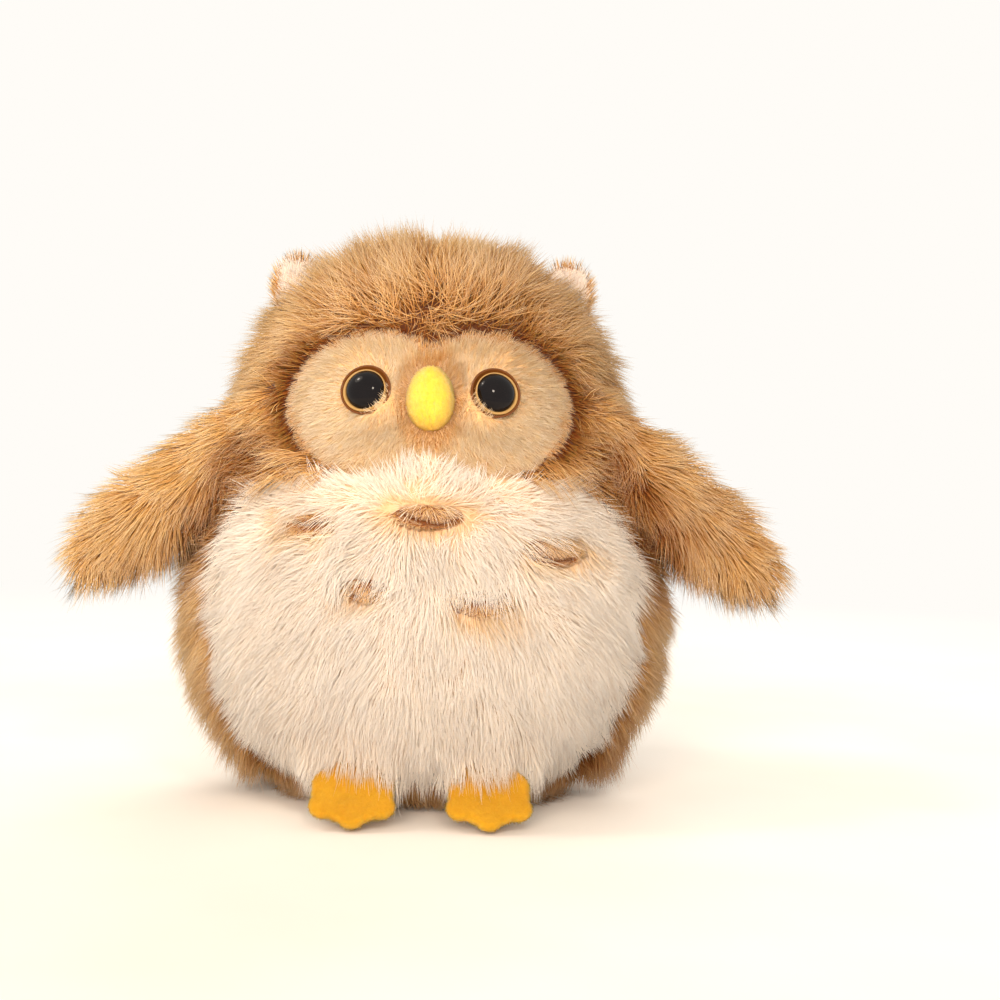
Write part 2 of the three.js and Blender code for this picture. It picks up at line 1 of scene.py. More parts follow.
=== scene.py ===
# A plush owl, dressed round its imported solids: padded fabric covers with a pile of separate strands, felt
# feet, a padded beak and safety eyes. Metres, +Z up. The face looks along -Y, and left is the owl's own left.
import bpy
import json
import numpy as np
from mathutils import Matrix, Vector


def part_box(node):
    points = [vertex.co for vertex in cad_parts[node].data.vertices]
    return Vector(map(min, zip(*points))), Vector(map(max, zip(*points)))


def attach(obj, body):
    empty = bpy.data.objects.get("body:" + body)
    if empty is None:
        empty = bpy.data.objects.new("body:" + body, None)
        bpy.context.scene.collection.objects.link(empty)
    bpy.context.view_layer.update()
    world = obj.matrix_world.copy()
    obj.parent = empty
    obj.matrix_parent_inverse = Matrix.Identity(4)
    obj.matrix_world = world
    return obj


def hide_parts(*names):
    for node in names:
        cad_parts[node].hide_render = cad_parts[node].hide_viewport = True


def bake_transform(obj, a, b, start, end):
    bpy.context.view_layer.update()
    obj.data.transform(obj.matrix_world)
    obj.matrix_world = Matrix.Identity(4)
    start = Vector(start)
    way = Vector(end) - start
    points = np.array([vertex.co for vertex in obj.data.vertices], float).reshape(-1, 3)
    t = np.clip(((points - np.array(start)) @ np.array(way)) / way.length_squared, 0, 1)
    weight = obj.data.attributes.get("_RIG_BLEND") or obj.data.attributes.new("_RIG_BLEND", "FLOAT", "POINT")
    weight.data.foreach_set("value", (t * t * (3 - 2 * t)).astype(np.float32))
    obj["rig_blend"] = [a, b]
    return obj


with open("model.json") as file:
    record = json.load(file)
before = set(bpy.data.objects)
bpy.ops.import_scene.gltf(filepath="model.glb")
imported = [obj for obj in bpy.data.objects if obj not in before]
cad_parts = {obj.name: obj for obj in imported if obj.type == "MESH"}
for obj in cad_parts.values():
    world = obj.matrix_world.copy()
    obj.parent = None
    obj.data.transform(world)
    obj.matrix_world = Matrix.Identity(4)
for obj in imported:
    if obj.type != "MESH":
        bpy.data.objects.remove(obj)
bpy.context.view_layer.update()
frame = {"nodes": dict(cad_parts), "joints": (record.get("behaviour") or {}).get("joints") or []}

import json
import math

import bpy
import numpy as np
from mathutils import Matrix, Vector
from mathutils.bvhtree import BVHTree

MM = 0.001
UP = Vector((0, 0, 1))
DOWN = np.array([0, 0, -1.0])
SIDES = {"left": 1, "right": -1}
JOINTS = {joint["name"]: joint for joint in frame["joints"]}

# Camera, from the photograph's perspective

CAMERA_DISTANCE = 480 * MM
CAMERA_HEIGHT = 92 * MM
CAMERA_YAW = math.radians(2.15)  # to the right of the owl
CAMERA_PITCH = math.radians(2.22)  # downwards
CAMERA_ROLL = math.radians(1.46)
LENS = 69.1
SENSOR = 36
CLIP_START = 0.01

camera = bpy.data.objects.new("camera", bpy.data.cameras.new("camera"))
bpy.context.scene.collection.objects.link(camera)
camera.data.lens = LENS
camera.data.sensor_width = SENSOR
camera.data.clip_start = CLIP_START
camera.matrix_world = (
    Matrix.Translation((0, -CAMERA_DISTANCE, CAMERA_HEIGHT))
    @ Matrix.Rotation(-CAMERA_YAW, 4, "Z")
    @ Matrix.Rotation(math.pi / 2 - CAMERA_PITCH, 4, "X")
    @ Matrix.Rotation(CAMERA_ROLL, 4, "Z")
)
bpy.context.scene.camera = camera
bpy.context.scene.view_settings.view_transform = "Standard"


# Helpers for numbers


def unit(vectors):
    return vectors / np.maximum(np.linalg.norm(vectors, axis=-1, keepdims=True), 1e-12)


def smooth(low, high, value):
    """0 before low and 1 after high, with a soft step between them."""
    t = np.clip((value - low) / (high - low), 0, 1)
    return t * t * (3 - 2 * t)


def along_surface(flow, outs):
    """The part of flow that lies in the surface, as unit vectors."""
    return unit(flow - outs * (flow * outs).sum(-1, keepdims=True))


def from_segments(places, starts, runs):
    """How far each flat place is from the nearest segment."""
    from_start = places[:, None] - starts
    t = np.clip((from_start * runs).sum(-1) / np.maximum((runs * runs).sum(-1), 1e-12), 0, 1)
    return np.linalg.norm(from_start - runs * t[..., None], axis=-1).min(1)


def arc(radius, height, size, start, end, steps):
    """Points of an arc about a radius and a height, between two angles in degrees."""
    angles = np.radians(np.linspace(start, end, steps))
    return [(radius + size * math.cos(a), height + size * math.sin(a)) for a in angles]


def colour(code):
    """A colour written as on screen, as linear red, green, blue and 1."""
    screen = [int(code[i : i + 2], 16) / 255 for i in (0, 2, 4)]
    return [((c + 0.055) / 1.055) ** 2.4 if c > 0.04045 else c / 12.92 for c in screen] + [1]


# Helpers for node trees


def add(tree, kind, inputs=None, **settings):
    """A node with its settings, and each input given as a value or as the socket that feeds it."""
    made = tree.nodes.new(kind)
    for key, value in settings.items():
        setattr(made, key, value)
    for key, value in (inputs or {}).items():
        if isinstance(value, bpy.types.NodeSocket):
            tree.links.new(value, made.inputs[key])
        else:
            made.inputs[key].default_value = value
    return made


def maths(tree, operation, *values):
    return add(tree, "ShaderNodeMath", dict(enumerate(values)), operation=operation).outputs[0]


def vectors(tree, operation, *values):
    return add(tree, "ShaderNodeVectorMath", dict(enumerate(values)), operation=operation).outputs[0]


def scaled(tree, vector, factor):
    inputs = {"Vector": vector, "Scale": factor}
    return add(tree, "ShaderNodeVectorMath", inputs, operation="SCALE").outputs[0]


def noise(tree, where, scale, detail=2):
    return add(tree, "ShaderNodeTexNoise", {"Vector": where, "Scale": scale, "Detail": detail}).outputs[0]


def ramp(tree, factor, stops):
    """A colour ramp through stops of place and colour code."""
    made = add(tree, "ShaderNodeValToRGB", {"Fac": factor})
    elements = made.color_ramp.elements
    while len(elements) < len(stops):
        elements.new(1)
    for element, (place, code) in zip(elements, stops):
        element.position = place
        element.color = colour(code)
    return made.outputs[0]


def mixed(tree, factor, a, b):
    inputs = {0: factor, 6: a, 7: b}
    return add(tree, "ShaderNodeMix", inputs, data_type="RGBA").outputs[2]


# Finishes

FIBRE_GLOW = 0.8 * MM
FINE_SHARE = 0.55  # of a cloth's grain in its tone, against its broader patches
BROADER = 12  # than the grain
CLOTH_GRAIN = 0.3 * MM
PLASTIC_GRAIN = 0.05 * MM
PLASTIC_SPECKS = 350  # per metre
PLASTIC_LIGHTER = (1.25, 0.002)  # times and plus


def finish(name, **sockets):
    """A material with one Principled shader, whose sockets are named with _ for each space."""
    material = bpy.data.materials.new(name)
    material.use_nodes = True
    tree = material.node_tree
    shader = tree.nodes["Principled BSDF"]
    for key, value in sockets.items():
        shader.inputs[key.replace("_", " ")].default_value = value
    return material, tree, shader


def surfaced(tree, shader, shade, height, strength, distance):
    """Gives a shader its colour and the grain of its surface."""
    tree.links.new(shade, shader.inputs["Base Color"])
    bump = add(tree, "ShaderNodeBump", {"Height": height, "Strength": strength, "Distance": distance})
    tree.links.new(bump.outputs[0], shader.inputs["Normal"])


def pile_finish(name, light, dark, glow=0.6):
    """Strands from root to tip along the map's second coordinate, light to dark along its first. Light passes
    through the thin fibres, which glow sets."""
    material, tree, shader = finish(
        name,
        Roughness=0.75,
        Specular_IOR_Level=0.08,
        Subsurface_Weight=glow,
        Subsurface_Radius=(1, 0.75, 0.55),
        Subsurface_Scale=FIBRE_GLOW,
    )
    place = add(tree, "ShaderNodeUVMap", uv_map="OFBake").outputs[0]
    tone, along, _ = add(tree, "ShaderNodeSeparateXYZ", {0: place}).outputs
    shade = mixed(tree, tone, ramp(tree, along, light), ramp(tree, along, dark))
    tree.links.new(shade, shader.inputs["Base Color"])
    return material


def cloth_finish(name, stops, scale=900, depth=0.3):
    """Knitted or felted cloth: a fine grain in its colour and its surface, with broader patches of tone."""
    material, tree, shader = finish(
        name, Roughness=0.9, Specular_IOR_Level=0.2, Sheen_Weight=0.2, Sheen_Roughness=0.5
    )
    where = add(tree, "ShaderNodeTexCoord").outputs["Object"]
    grain = noise(tree, where, scale, 3)
    fine = maths(tree, "MULTIPLY", grain, FINE_SHARE)
    broad = maths(tree, "MULTIPLY", noise(tree, where, scale / BROADER), 1 - FINE_SHARE)
    shade = ramp(tree, maths(tree, "ADD", fine, broad), stops)
    surfaced(tree, shader, shade, grain, depth, CLOTH_GRAIN)
    return material


def plastic_finish(name, code, roughness, grain, gloss=0.5):
    """Moulded plastic: one colour that varies a little, with a faint grain in its gloss."""
    material, tree, shader = finish(name, Roughness=roughness, Specular_IOR_Level=gloss)
    where = add(tree, "ShaderNodeTexCoord").outputs["Object"]
    specks = noise(tree, where, PLASTIC_SPECKS)
    base = colour(code)
    factor, more = PLASTIC_LIGHTER
    lighter = [min(1, c * factor + more) for c in base[:3]] + [1]
    surfaced(tree, shader, mixed(tree, specks, base, lighter), specks, grain, PLASTIC_GRAIN)
    return material


BROWN_PILE = pile_finish(
    "brown_strands",
    [(0, "8f5624"), (0.25, "bb7c3e"), (0.6, "dba35f"), (1, "f0cb90")],
    [(0, "381204"), (0.25, "56240c"), (0.6, "7f421e"), (1, "ae7040")],
    glow=0.4,
)
CREAM_PILE = pile_finish(
    "cream_strands",
    [(0, "ffe4c9"), (0.4, "ffead2"), (1, "fff1e0")],
    [(0, "cf935c"), (0.4, "e9b98c"), (1, "fbdcba")],
)
FACE_PLUSH = pile_finish(
    "face_strands",
    [(0, "e6b47e"), (0.5, "f4cf9c"), (1, "f4dcb6")],
    [(0, "a45c28"), (0.5, "cc8442"), (1, "e4a864")],
)
SPOT_PLUSH = pile_finish(
    "spot_strands",
    [(0, "d99650"), (0.5, "f0b678"), (1, "f9cf9c")],
    [(0, "7c3410"), (0.5, "a85a28"), (1, "cc8444")],
)
EAR_PLUSH = pile_finish(
    "ear_strands",
    [(0, "fbdcc2"), (0.5, "ffecd9"), (1, "fff5e9")],
    [(0, "e3b48e"), (0.5, "f3cfb0"), (1, "fbe2cb")],
)
BEAK_FUZZ = pile_finish("beak_fuzz", [(0, "f3c83c"), (1, "fde268")], [(0, "e0a326"), (1, "f0bd3c")])
FELT_FUZZ = pile_finish("felt_fuzz", [(0, "c08a18"), (1, "d09e2a")], [(0, "ac7210"), (1, "c08618")])
# Painted shade: the brown knit is dark and the cream knit tan, so that where they show between the strands
# they read as shaded roots
BROWN_BACKING = cloth_finish("brown_knit", [(0.3, "40200e"), (0.7, "5c3218")])
CREAM_BACKING = cloth_finish("cream_knit", [(0.3, "d2a67c"), (0.7, "e4c09a")])
FACE_BACKING = cloth_finish("face_knit", [(0.3, "d9a56c"), (0.7, "efc48e")])
# Painted shade: the spot's knit is dark, as it shows only in the creases
SPOT_BACKING = cloth_finish("spot_knit", [(0.3, "5e2c12"), (0.7, "84502a")])
EAR_BACKING = cloth_finish("ear_knit", [(0.3, "d9b79f"), (0.7, "efd4c0")])
BEAK_CLOTH = cloth_finish("beak_cloth", [(0.3, "eebb30"), (0.7, "f7d652")], scale=1400)
YELLOW_FELT = cloth_finish("foot_felt", [(0.3, "b67a10"), (0.7, "c6921c")], scale=1100, depth=0.5)
FIBRE_FILL = cloth_finish("filling", [(0.3, "e4e1da"), (0.7, "fbfaf6")], scale=500, depth=0.8)
BLACK_PLASTIC = plastic_finish("eye_black", "0a0607", 0.07, 0.01, gloss=0.2)
AMBER_PLASTIC = plastic_finish("eye_amber", "5e3410", 0.15, 0.03, gloss=0.3)
GOLD_RING = plastic_finish("eye_gold", "a07e4b", 0.25, 0.03, gloss=0.3)
WASHER_PLASTIC = plastic_finish("washer_white", "e8e6e0", 0.45, 0.2)


# Stage and light

WORLD_LIGHT = 0.48
BACKGROUND = "fffcf7"
WHITE_FROM, WHITE_TO = 0.16, 0.6  # metres from the object's middle
FLOOR_HALF = 3
FLOOR_PATCHES = 9  # per metre
FLOOR_STOPS = [(0.3, "fbf6ee"), (0.7, "fffdf9")]
LAMP_AIM = Vector((0, 0, 0.07))
LAMPS = [  # name, place, size, power and colour
    ("side_lamp", (-0.62, -0.14, 0.9), 0.44, 1.2, "fff2e0"),
    ("inner_side_lamp", (-0.6, -0.14, 0.87), 0.13, 1.1, "fff2e0"),
    ("front_lamp", (0.17, -0.87, 0.56), 0.14, 1.8, "fff0dc"),
    ("low_lamp", (-0.3, -1.9, 0.5), 1.2, 56, "ffeedb"),
    ("back_lamp", (0.3, 1.05, 0.5), 1.0, 12, "fff6ea"),
]


def seen_directly(tree):
    """1 for what the camera, gloss and glass see, 0 for light on its way to the object."""
    path = add(tree, "ShaderNodeLightPath").outputs
    seen = maths(tree, "MAXIMUM", path["Is Camera Ray"], path["Is Glossy Ray"])
    return maths(tree, "MAXIMUM", seen, path["Is Transmission Ray"])


def floor_finish():
    """A pale matt floor that takes the object's shadow, and is seen as white farther away."""
    material, tree, shader = finish("floor_white", Roughness=1.0, Specular_IOR_Level=0.0)
    where = add(tree, "ShaderNodeTexCoord").outputs["Object"]
    tone = ramp(tree, noise(tree, where, FLOOR_PATCHES, 3), FLOOR_STOPS)
    tree.links.new(tone, shader.inputs["Base Color"])
    away = add(tree, "ShaderNodeVectorMath", {0: where}, operation="LENGTH").outputs["Value"]
    reach = {"Value": away, "From Min": WHITE_FROM, "From Max": WHITE_TO}
    far = add(tree, "ShaderNodeMapRange", reach, interpolation_type="SMOOTHSTEP").outputs[0]
    white = add(tree, "ShaderNodeEmission", {"Color": colour(BACKGROUND), "Strength": 1})
    factor = maths(tree, "MULTIPLY", far, seen_directly(tree))
    blend = add(tree, "ShaderNodeMixShader", {0: factor, 1: shader.outputs[0], 2: white.outputs[0]})
    tree.links.new(blend.outputs[0], tree.nodes["Material Output"].inputs["Surface"])
    return material


def stage_floor():
    half = FLOOR_HALF
    mesh = bpy.data.meshes.new("floor")
    corners = [(-half, -half, 0), (half, -half, 0), (half, half, 0), (-half, half, 0)]
    mesh.from_pydata(corners, [], [(0, 1, 2, 3)])
    mesh.materials.append(floor_finish())
    floor = bpy.data.objects.new("floor", mesh)
    bpy.context.scene.collection.objects.link(floor)


def stage_world():
    world = bpy.data.worlds.new("room")
    bpy.context.scene.world = world
    world.use_nodes = True
    tree = world.node_tree
    tree.nodes.clear()
    strength = maths(tree, "MULTIPLY", seen_directly(tree), 1 - WORLD_LIGHT)
    strength = maths(tree, "ADD", strength, WORLD_LIGHT)
    light = add(tree, "ShaderNodeBackground", {"Color": colour(BACKGROUND), "Strength": strength})
    out = add(tree, "ShaderNodeOutputWorld")
    tree.links.new(light.outputs[0], out.inputs[0])


def stage_lamps():
    for name, place, size, power, code in LAMPS:
        lamp = bpy.data.lights.new(name, "AREA")
        lamp.shape = "DISK"
        lamp.size = size
        lamp.energy = power
        lamp.color = colour(code)[:3]
        holder = bpy.data.objects.new(name, lamp)
        bpy.context.scene.collection.objects.link(holder)
        holder.visible_glossy = name != "low_lamp"  # too broad to show in the eyes
        aim = LAMP_AIM - Vector(place)
        holder.matrix_world = Matrix.Translation(place) @ aim.to_track_quat("-Z", "Y").to_matrix().to_4x4()


stage_floor()
stage_world()
stage_lamps()


# Meshes


class Cloth:
    """A stretch of fabric: its points, the way out of it at each of them, and its faces."""

    def __init__(self, points, outs, faces):
        self.points = points
        self.outs = outs
        self.faces = faces

    def centres(self):
        return np.array([self.points[face].mean(0) for face in self.faces])

    def part(self, chosen):
        """The faces at the chosen places of the list, with the points that they use."""
        faces = [self.faces[i] for i in chosen]
        used = np.unique(np.concatenate(faces))
        place = np.full(len(self.points), -1)
        place[used] = np.arange(len(used))
        return Cloth(self.points[used], self.outs[used], [place[face] for face in faces])

    def areas(self):
        """The areas of its faces, which have three or four corners."""
        corners = [self.points[face] for face in self.faces]
        first = [np.cross(p[1] - p[0], p[2] - p[0]) for p in corners]
        last = [np.cross(p[-2] - p[0], p[-1] - p[0]) for p in corners]
        return (np.linalg.norm(first, axis=1) + np.linalg.norm(last, axis=1)) / 2

    def stretches(self, count):
        """The cloth cut into stretches of equal area that lie side by side round the middle."""
        if count == 1:
            return [self]
        centres = self.centres()
        turns = np.arctan2(centres[:, 0], -centres[:, 1])
        order = np.argsort(turns)
        covered = np.cumsum(self.areas()[order])
        ends = np.searchsorted(covered, covered[-1] * np.arange(1, count) / count)
        return [self.part(chosen) for chosen in np.split(order, ends)]

    def finer(self):
        """The same cloth with each face cut in as many as it has corners."""
        ends = [np.stack([face, np.roll(face, -1)], 1) for face in self.faces]
        edges, place = np.unique(np.sort(np.concatenate(ends), axis=1), axis=0, return_inverse=True)
        place = place.ravel() + len(self.points)
        middle = len(self.points) + len(edges)
        sides = np.split(place, np.cumsum([len(face) for face in self.faces])[:-1])
        faces = []
        for i, (face, side) in enumerate(zip(self.faces, sides)):
            faces += [np.array([face[k], side[k], middle + i, side[k - 1]]) for k in range(len(face))]
        centres = np.array([self.outs[face].mean(0) for face in self.faces])
        points = np.concatenate([self.points, self.points[edges].mean(1), self.centres()])
        outs = unit(np.concatenate([self.outs, self.outs[edges].mean(1), centres]))
        return Cloth(points, outs, faces)

    def mesh(self, name):
        mesh = bpy.data.meshes.new(name)
        mesh.from_pydata(self.points.tolist(), [], [face.tolist() for face in self.faces])
        mesh.shade_smooth()
        return mesh


def lofted(rings):
    """A closed tube through rings of points, with a pole in the middle of each end."""
    rings = np.asarray(rings, float)
    steps, count = rings.shape[:2]
    points = np.concatenate([rings.reshape(-1, 3), rings[:1].mean(1), rings[-1:].mean(1)])
    k = np.arange(count)
    after = (k + 1) % count
    faces = []
    for i in range(steps - 1):
        low, high = i * count, (i + 1) * count
        faces += list(np.stack([low + k, low + after, high + after, high + k], 1))
    last = (steps - 1) * count
    faces += list(np.stack([after, k, np.full(count, steps * count)], 1))
    faces += list(np.stack([last + k, last + after, np.full(count, steps * count + 1)], 1))
    if volume(points, faces) < 0:
        faces = [face[::-1] for face in faces]
    return Cloth(points, ways_out(points, faces), faces)


def volume(points, faces):
    """Six times what a closed surface holds, negative where its faces point inwards."""
    total = 0
    for size in {len(face) for face in faces}:
        corners = points[np.array([face for face in faces if len(face) == size])]
        for i in range(1, size - 1):
            total += (corners[:, 0] * np.cross(corners[:, i], corners[:, i + 1])).sum()
    return total


def ways_out(points, faces):
    """The way out of a surface at each of its points."""
    outs = np.zeros_like(points)
    for size in {len(face) for face in faces}:
        group = np.array([face for face in faces if len(face) == size])
        corners = points[group]
        normals = np.cross(corners[:, 1] - corners[:, 0], corners[:, -1] - corners[:, 0])
        for i in range(size):
            np.add.at(outs, group[:, i], normals)
    return unit(outs)


def shown(name, mesh, material):
    """A mesh as a piece of one finish, at the origin."""
    mesh.materials.append(material)
    piece = bpy.data.objects.new(name, mesh)
    bpy.context.scene.collection.objects.link(piece)
    return piece


PILE_SOFTNESS = 0.7


def soft_ways(mesh):
    """The ways in which strands catch the light: partly their own, and partly those of their cloth."""
    own, out = np.empty((2, len(mesh.vertices), 3), np.float32)
    mesh.vertex_normals.foreach_get("vector", own.ravel())
    mesh.attributes["out_way"].data.foreach_get("vector", out.ravel())
    return unit(own * (1 - PILE_SOFTNESS) + unit(out) * PILE_SOFTNESS)


def worked(piece, keep=()):
    """A piece with its modifiers worked into its mesh, keeping only the named attributes."""
    bpy.context.view_layer.update()
    graph = bpy.context.evaluated_depsgraph_get()
    mesh = bpy.data.meshes.new_from_object(
        piece.evaluated_get(graph), preserve_all_data_layers=True, depsgraph=graph
    )
    ways = soft_ways(mesh) if "out_way" in mesh.attributes else None
    for name in [a.name for a in mesh.attributes if not a.is_internal and not a.is_required]:
        if name not in keep and name in mesh.attributes and name != "sharp_face":
            mesh.attributes.remove(mesh.attributes[name])
    if ways is not None:
        mesh.normals_split_custom_set_from_vertices(ways.tolist())
    host = piece.data
    mesh.materials.clear()
    mesh.materials.append(host.materials[0])
    piece.modifiers.clear()
    piece.data = mesh
    mesh.name = piece.name
    bpy.data.meshes.remove(host)
    return piece


def backing(name, cloth, thickness, material, subdivide=0):
    """The fabric under a pile: the cloth, given its thickness inwards."""
    piece = shown(name, cloth.mesh(name), material)
    if subdivide:
        smoother = piece.modifiers.new("smoother", "SUBSURF")
        smoother.levels = smoother.render_levels = subdivide
    wall = piece.modifiers.new("fabric", "SOLIDIFY")
    wall.thickness = thickness
    wall.offset = -1
    return worked(piece)


# The pile: a strand is a three-sided cone, set on the cloth and bent by what the cloth says at its root

FLOOR_GAP = 0.4 * MM
SWIRLS_PER_METRE = 110
PATCHES_PER_METRE = 45
TUFTS_TO_LOCKS = 0.28
STRAND_REACH = (0.84, 1.08)  # these three are drawn at random, as shares of what a strand is given
STRAND_WIDTH = (0.75, 1.25)
STRAND_TONE = (-0.2, 0.2)
LOCK_REACH, LOCK_REACH_SPREAD = 0.93, 0.14
LOCK_TONE = 0.25
PATCH_TONE = 0.6
STRAND_BELLY = 2.4  # how a strand swells between its root and its tip
TONE_LIMITS = (0.03, 0.97)
TONE_ACROSS = 0.02
PILE_INPUTS = {
    "strands per square metre": "NodeSocketFloat",
    "strand radius": "NodeSocketFloat",
    "bends": "NodeSocketInt",
    "locks per metre": "NodeSocketFloat",
    "lock pull": "NodeSocketFloat",
    "tuft pull": "NodeSocketFloat",
    "swirl": "NodeSocketFloat",
    "stray": "NodeSocketFloat",
    "seed": "NodeSocketInt",
    "finish": "NodeSocketMaterial",
}


# The tree that grows a pile, with short ways to write its nodes

PILE_TREE = bpy.data.node_groups.new("pile", "GeometryNodeTree")
for direction in ("INPUT", "OUTPUT"):
    PILE_TREE.interface.new_socket("Geometry", in_out=direction, socket_type="NodeSocketGeometry")
for input_name, socket_kind in PILE_INPUTS.items():
    PILE_TREE.interface.new_socket(input_name, in_out="INPUT", socket_type=socket_kind)
GIVEN = PILE_TREE.nodes.new("NodeGroupInput").outputs
WHERE = add(PILE_TREE, "GeometryNodeInputPosition").outputs[0]


def made(kind, inputs, output=0, **settings):
    """One output of a new node."""
    return add(PILE_TREE, kind, inputs, **settings).outputs[output]


def times(a, b):
    return maths(PILE_TREE, "MULTIPLY", a, b)


def plus(a, b):
    return maths(PILE_TREE, "ADD", a, b)


def minus(a, b):
    return maths(PILE_TREE, "SUBTRACT", a, b)


def way_maths(operation, *values):
    return vectors(PILE_TREE, operation, *values)


def lengthened(way, factor):
    return scaled(PILE_TREE, way, factor)


def split(vector):
    return add(PILE_TREE, "ShaderNodeSeparateXYZ", {0: vector}).outputs


def combined(x, y, z=0):
    return made("ShaderNodeCombineXYZ", {0: x, 1: y, 2: z})


def read(name, kind="FLOAT"):
    return made("GeometryNodeInputNamedAttribute", {"Name": name}, data_type=kind)


def store(geometry, name, value, kind="FLOAT", domain="POINT"):
    inputs = {"Geometry": geometry, "Name": name, "Value": value}
    return made("GeometryNodeStoreNamedAttribute", inputs, data_type=kind, domain=domain)


def random(limits, offset):
    inputs = {2: limits[0], 3: limits[1], "Seed": plus(GIVEN["seed"], offset)}
    return made("FunctionNodeRandomValue", inputs, 1, data_type="FLOAT")


def cells(scale):
    return add(PILE_TREE, "ShaderNodeTexVoronoi", {"Vector": WHERE, "Scale": scale}).outputs


# What each strand does


def scattered():
    density = times(GIVEN["strands per square metre"], read("fullness"))
    inputs = {"Mesh": GIVEN["Geometry"], "Density": density, "Seed": GIVEN["seed"]}
    return made("GeometryNodeDistributePointsOnFaces", inputs)


def lock_pull(locks):
    """Strands gather into locks and broader tufts: each leans towards the middle of its cells."""
    tufts = cells(times(GIVEN["locks per metre"], TUFTS_TO_LOCKS))
    to_lock = lengthened(way_maths("SUBTRACT", locks["Position"], WHERE), GIVEN["lock pull"])
    to_tuft = lengthened(way_maths("SUBTRACT", tufts["Position"], WHERE), GIVEN["tuft pull"])
    pull = way_maths("ADD", to_lock, to_tuft)
    out = way_maths("NORMALIZE", read("out_way", "FLOAT_VECTOR"))
    height = made("ShaderNodeVectorMath", {0: pull, 1: out}, 1, operation="DOT_PRODUCT")
    return way_maths("SUBTRACT", pull, lengthened(out, height))


def disorder():
    """How a strand strays from the lay: in swirls with its neighbours, and on its own."""
    inputs = {"Vector": WHERE, "Scale": SWIRLS_PER_METRE, "Detail": 2}
    swirl = way_maths("SUBTRACT", made("ShaderNodeTexNoise", inputs, "Color"), (0.5, 0.5, 0.5))
    swirl = lengthened(swirl, times(GIVEN["swirl"], read("unrest")))
    inputs = {0: (-1, -1, -1), 1: (1, 1, 1), "Seed": plus(GIVEN["seed"], 1)}
    loose = made("FunctionNodeRandomValue", inputs, data_type="FLOAT_VECTOR")
    return way_maths("ADD", swirl, lengthened(loose, times(GIVEN["stray"], read("unrest"))))


def strand_tone(lock_shade):
    """Light to dark: by the lay, at random, by lock and by patch."""
    patches = noise(PILE_TREE, WHERE, PATCHES_PER_METRE)
    tone = plus(read("shade"), random(STRAND_TONE, 3))
    tone = plus(tone, times(minus(lock_shade, 0.5), LOCK_TONE))
    return plus(tone, times(minus(patches, 0.5), PATCH_TONE))


def strand_shape():
    """A cone with three sides that swells between root and tip, and knows its places along and across."""
    inputs = {"Vertices": 3, "Side Segments": GIVEN["bends"], "Radius Top": 0, "Radius Bottom": 1, "Depth": 1}
    cone = made("GeometryNodeMeshCone", inputs, fill_type="NGON")
    x, y, z = split(WHERE)
    wider = plus(times(times(z, minus(1, z)), STRAND_BELLY), 1)
    fuller = combined(times(x, wider), times(y, wider), z)
    strand = made("GeometryNodeSetPosition", {"Geometry": cone, "Position": fuller})
    return store(store(strand, "along", z), "across", x)


def planted(points, root_way, reach):
    """A straight strand on each point, turned at random about its own way."""
    spin = made("FunctionNodeEulerToRotation", {0: combined(0, 0, random((0, math.tau), 4))})
    turn = made("FunctionNodeAlignRotationToVector", {"Rotation": spin, "Vector": root_way}, axis="Z")
    width = times(GIVEN["strand radius"], random(STRAND_WIDTH, 5))
    size = combined(width, width, reach)
    inputs = {"Points": points, "Instance": strand_shape(), "Rotation": turn, "Scale": size}
    return made("GeometryNodeRealizeInstances", {0: made("GeometryNodeInstanceOnPoints", inputs)})


def bent_over(strands):
    """The strands, each bent over by what its root stored, and kept above the floor."""
    lean = lengthened(read("bend", "FLOAT_VECTOR"), times(read("along"), read("along")))
    strands = made("GeometryNodeSetPosition", {"Geometry": strands, "Offset": lean})
    x, y, z = split(WHERE)
    above_floor = combined(x, y, maths(PILE_TREE, "MAXIMUM", z, FLOOR_GAP))
    return made("GeometryNodeSetPosition", {"Geometry": strands, "Position": above_floor})


def mapped(strands):
    """The strands with a map that holds their tone and the way along them."""
    low, high = TONE_LIMITS
    tone = made("ShaderNodeClamp", {0: read("tone"), 1: low, 2: high})
    tone = plus(tone, times(read("across"), TONE_ACROSS))
    return store(strands, "OFBake", combined(tone, read("along")), "FLOAT2", "CORNER")


def write_pile_tree():
    locks = cells(GIVEN["locks per metre"])
    lock_colour = add(PILE_TREE, "FunctionNodeSeparateColor", {"Color": locks["Color"]}).outputs
    stray = disorder()
    root_way = way_maths("NORMALIZE", way_maths("ADD", read("root_way", "FLOAT_VECTOR"), stray))
    tip_way = way_maths("ADD", read("tip_way", "FLOAT_VECTOR"), stray)
    reach = times(read("pile_length"), random(STRAND_REACH, 2))
    reach = times(reach, plus(times(lock_colour[1], LOCK_REACH_SPREAD), LOCK_REACH))
    bend = lengthened(way_maths("SUBTRACT", tip_way, root_way), times(reach, 0.5))
    points = store(scattered(), "bend", way_maths("ADD", bend, lock_pull(locks)), "FLOAT_VECTOR")
    points = store(points, "tone", strand_tone(lock_colour[0]))
    strands = mapped(bent_over(planted(points, root_way, reach)))
    smooth_strands = made("GeometryNodeSetShadeSmooth", {"Geometry": strands})
    finished = made("GeometryNodeSetMaterial", {"Geometry": smooth_strands, "Material": GIVEN["finish"]})
    PILE_TREE.links.new(finished, PILE_TREE.nodes.new("NodeGroupOutput").inputs[0])


write_pile_tree()
PILE_SOCKETS = {
    item.name: item.identifier
    for item in PILE_TREE.interface.items_tree
    if item.in_out == "INPUT" and item.name in PILE_INPUTS
}


def pile_kind(*values):
    """How a pile grows: values in the order of the inputs, from strands per square metre to stray."""
    return dict(zip(PILE_INPUTS, values))


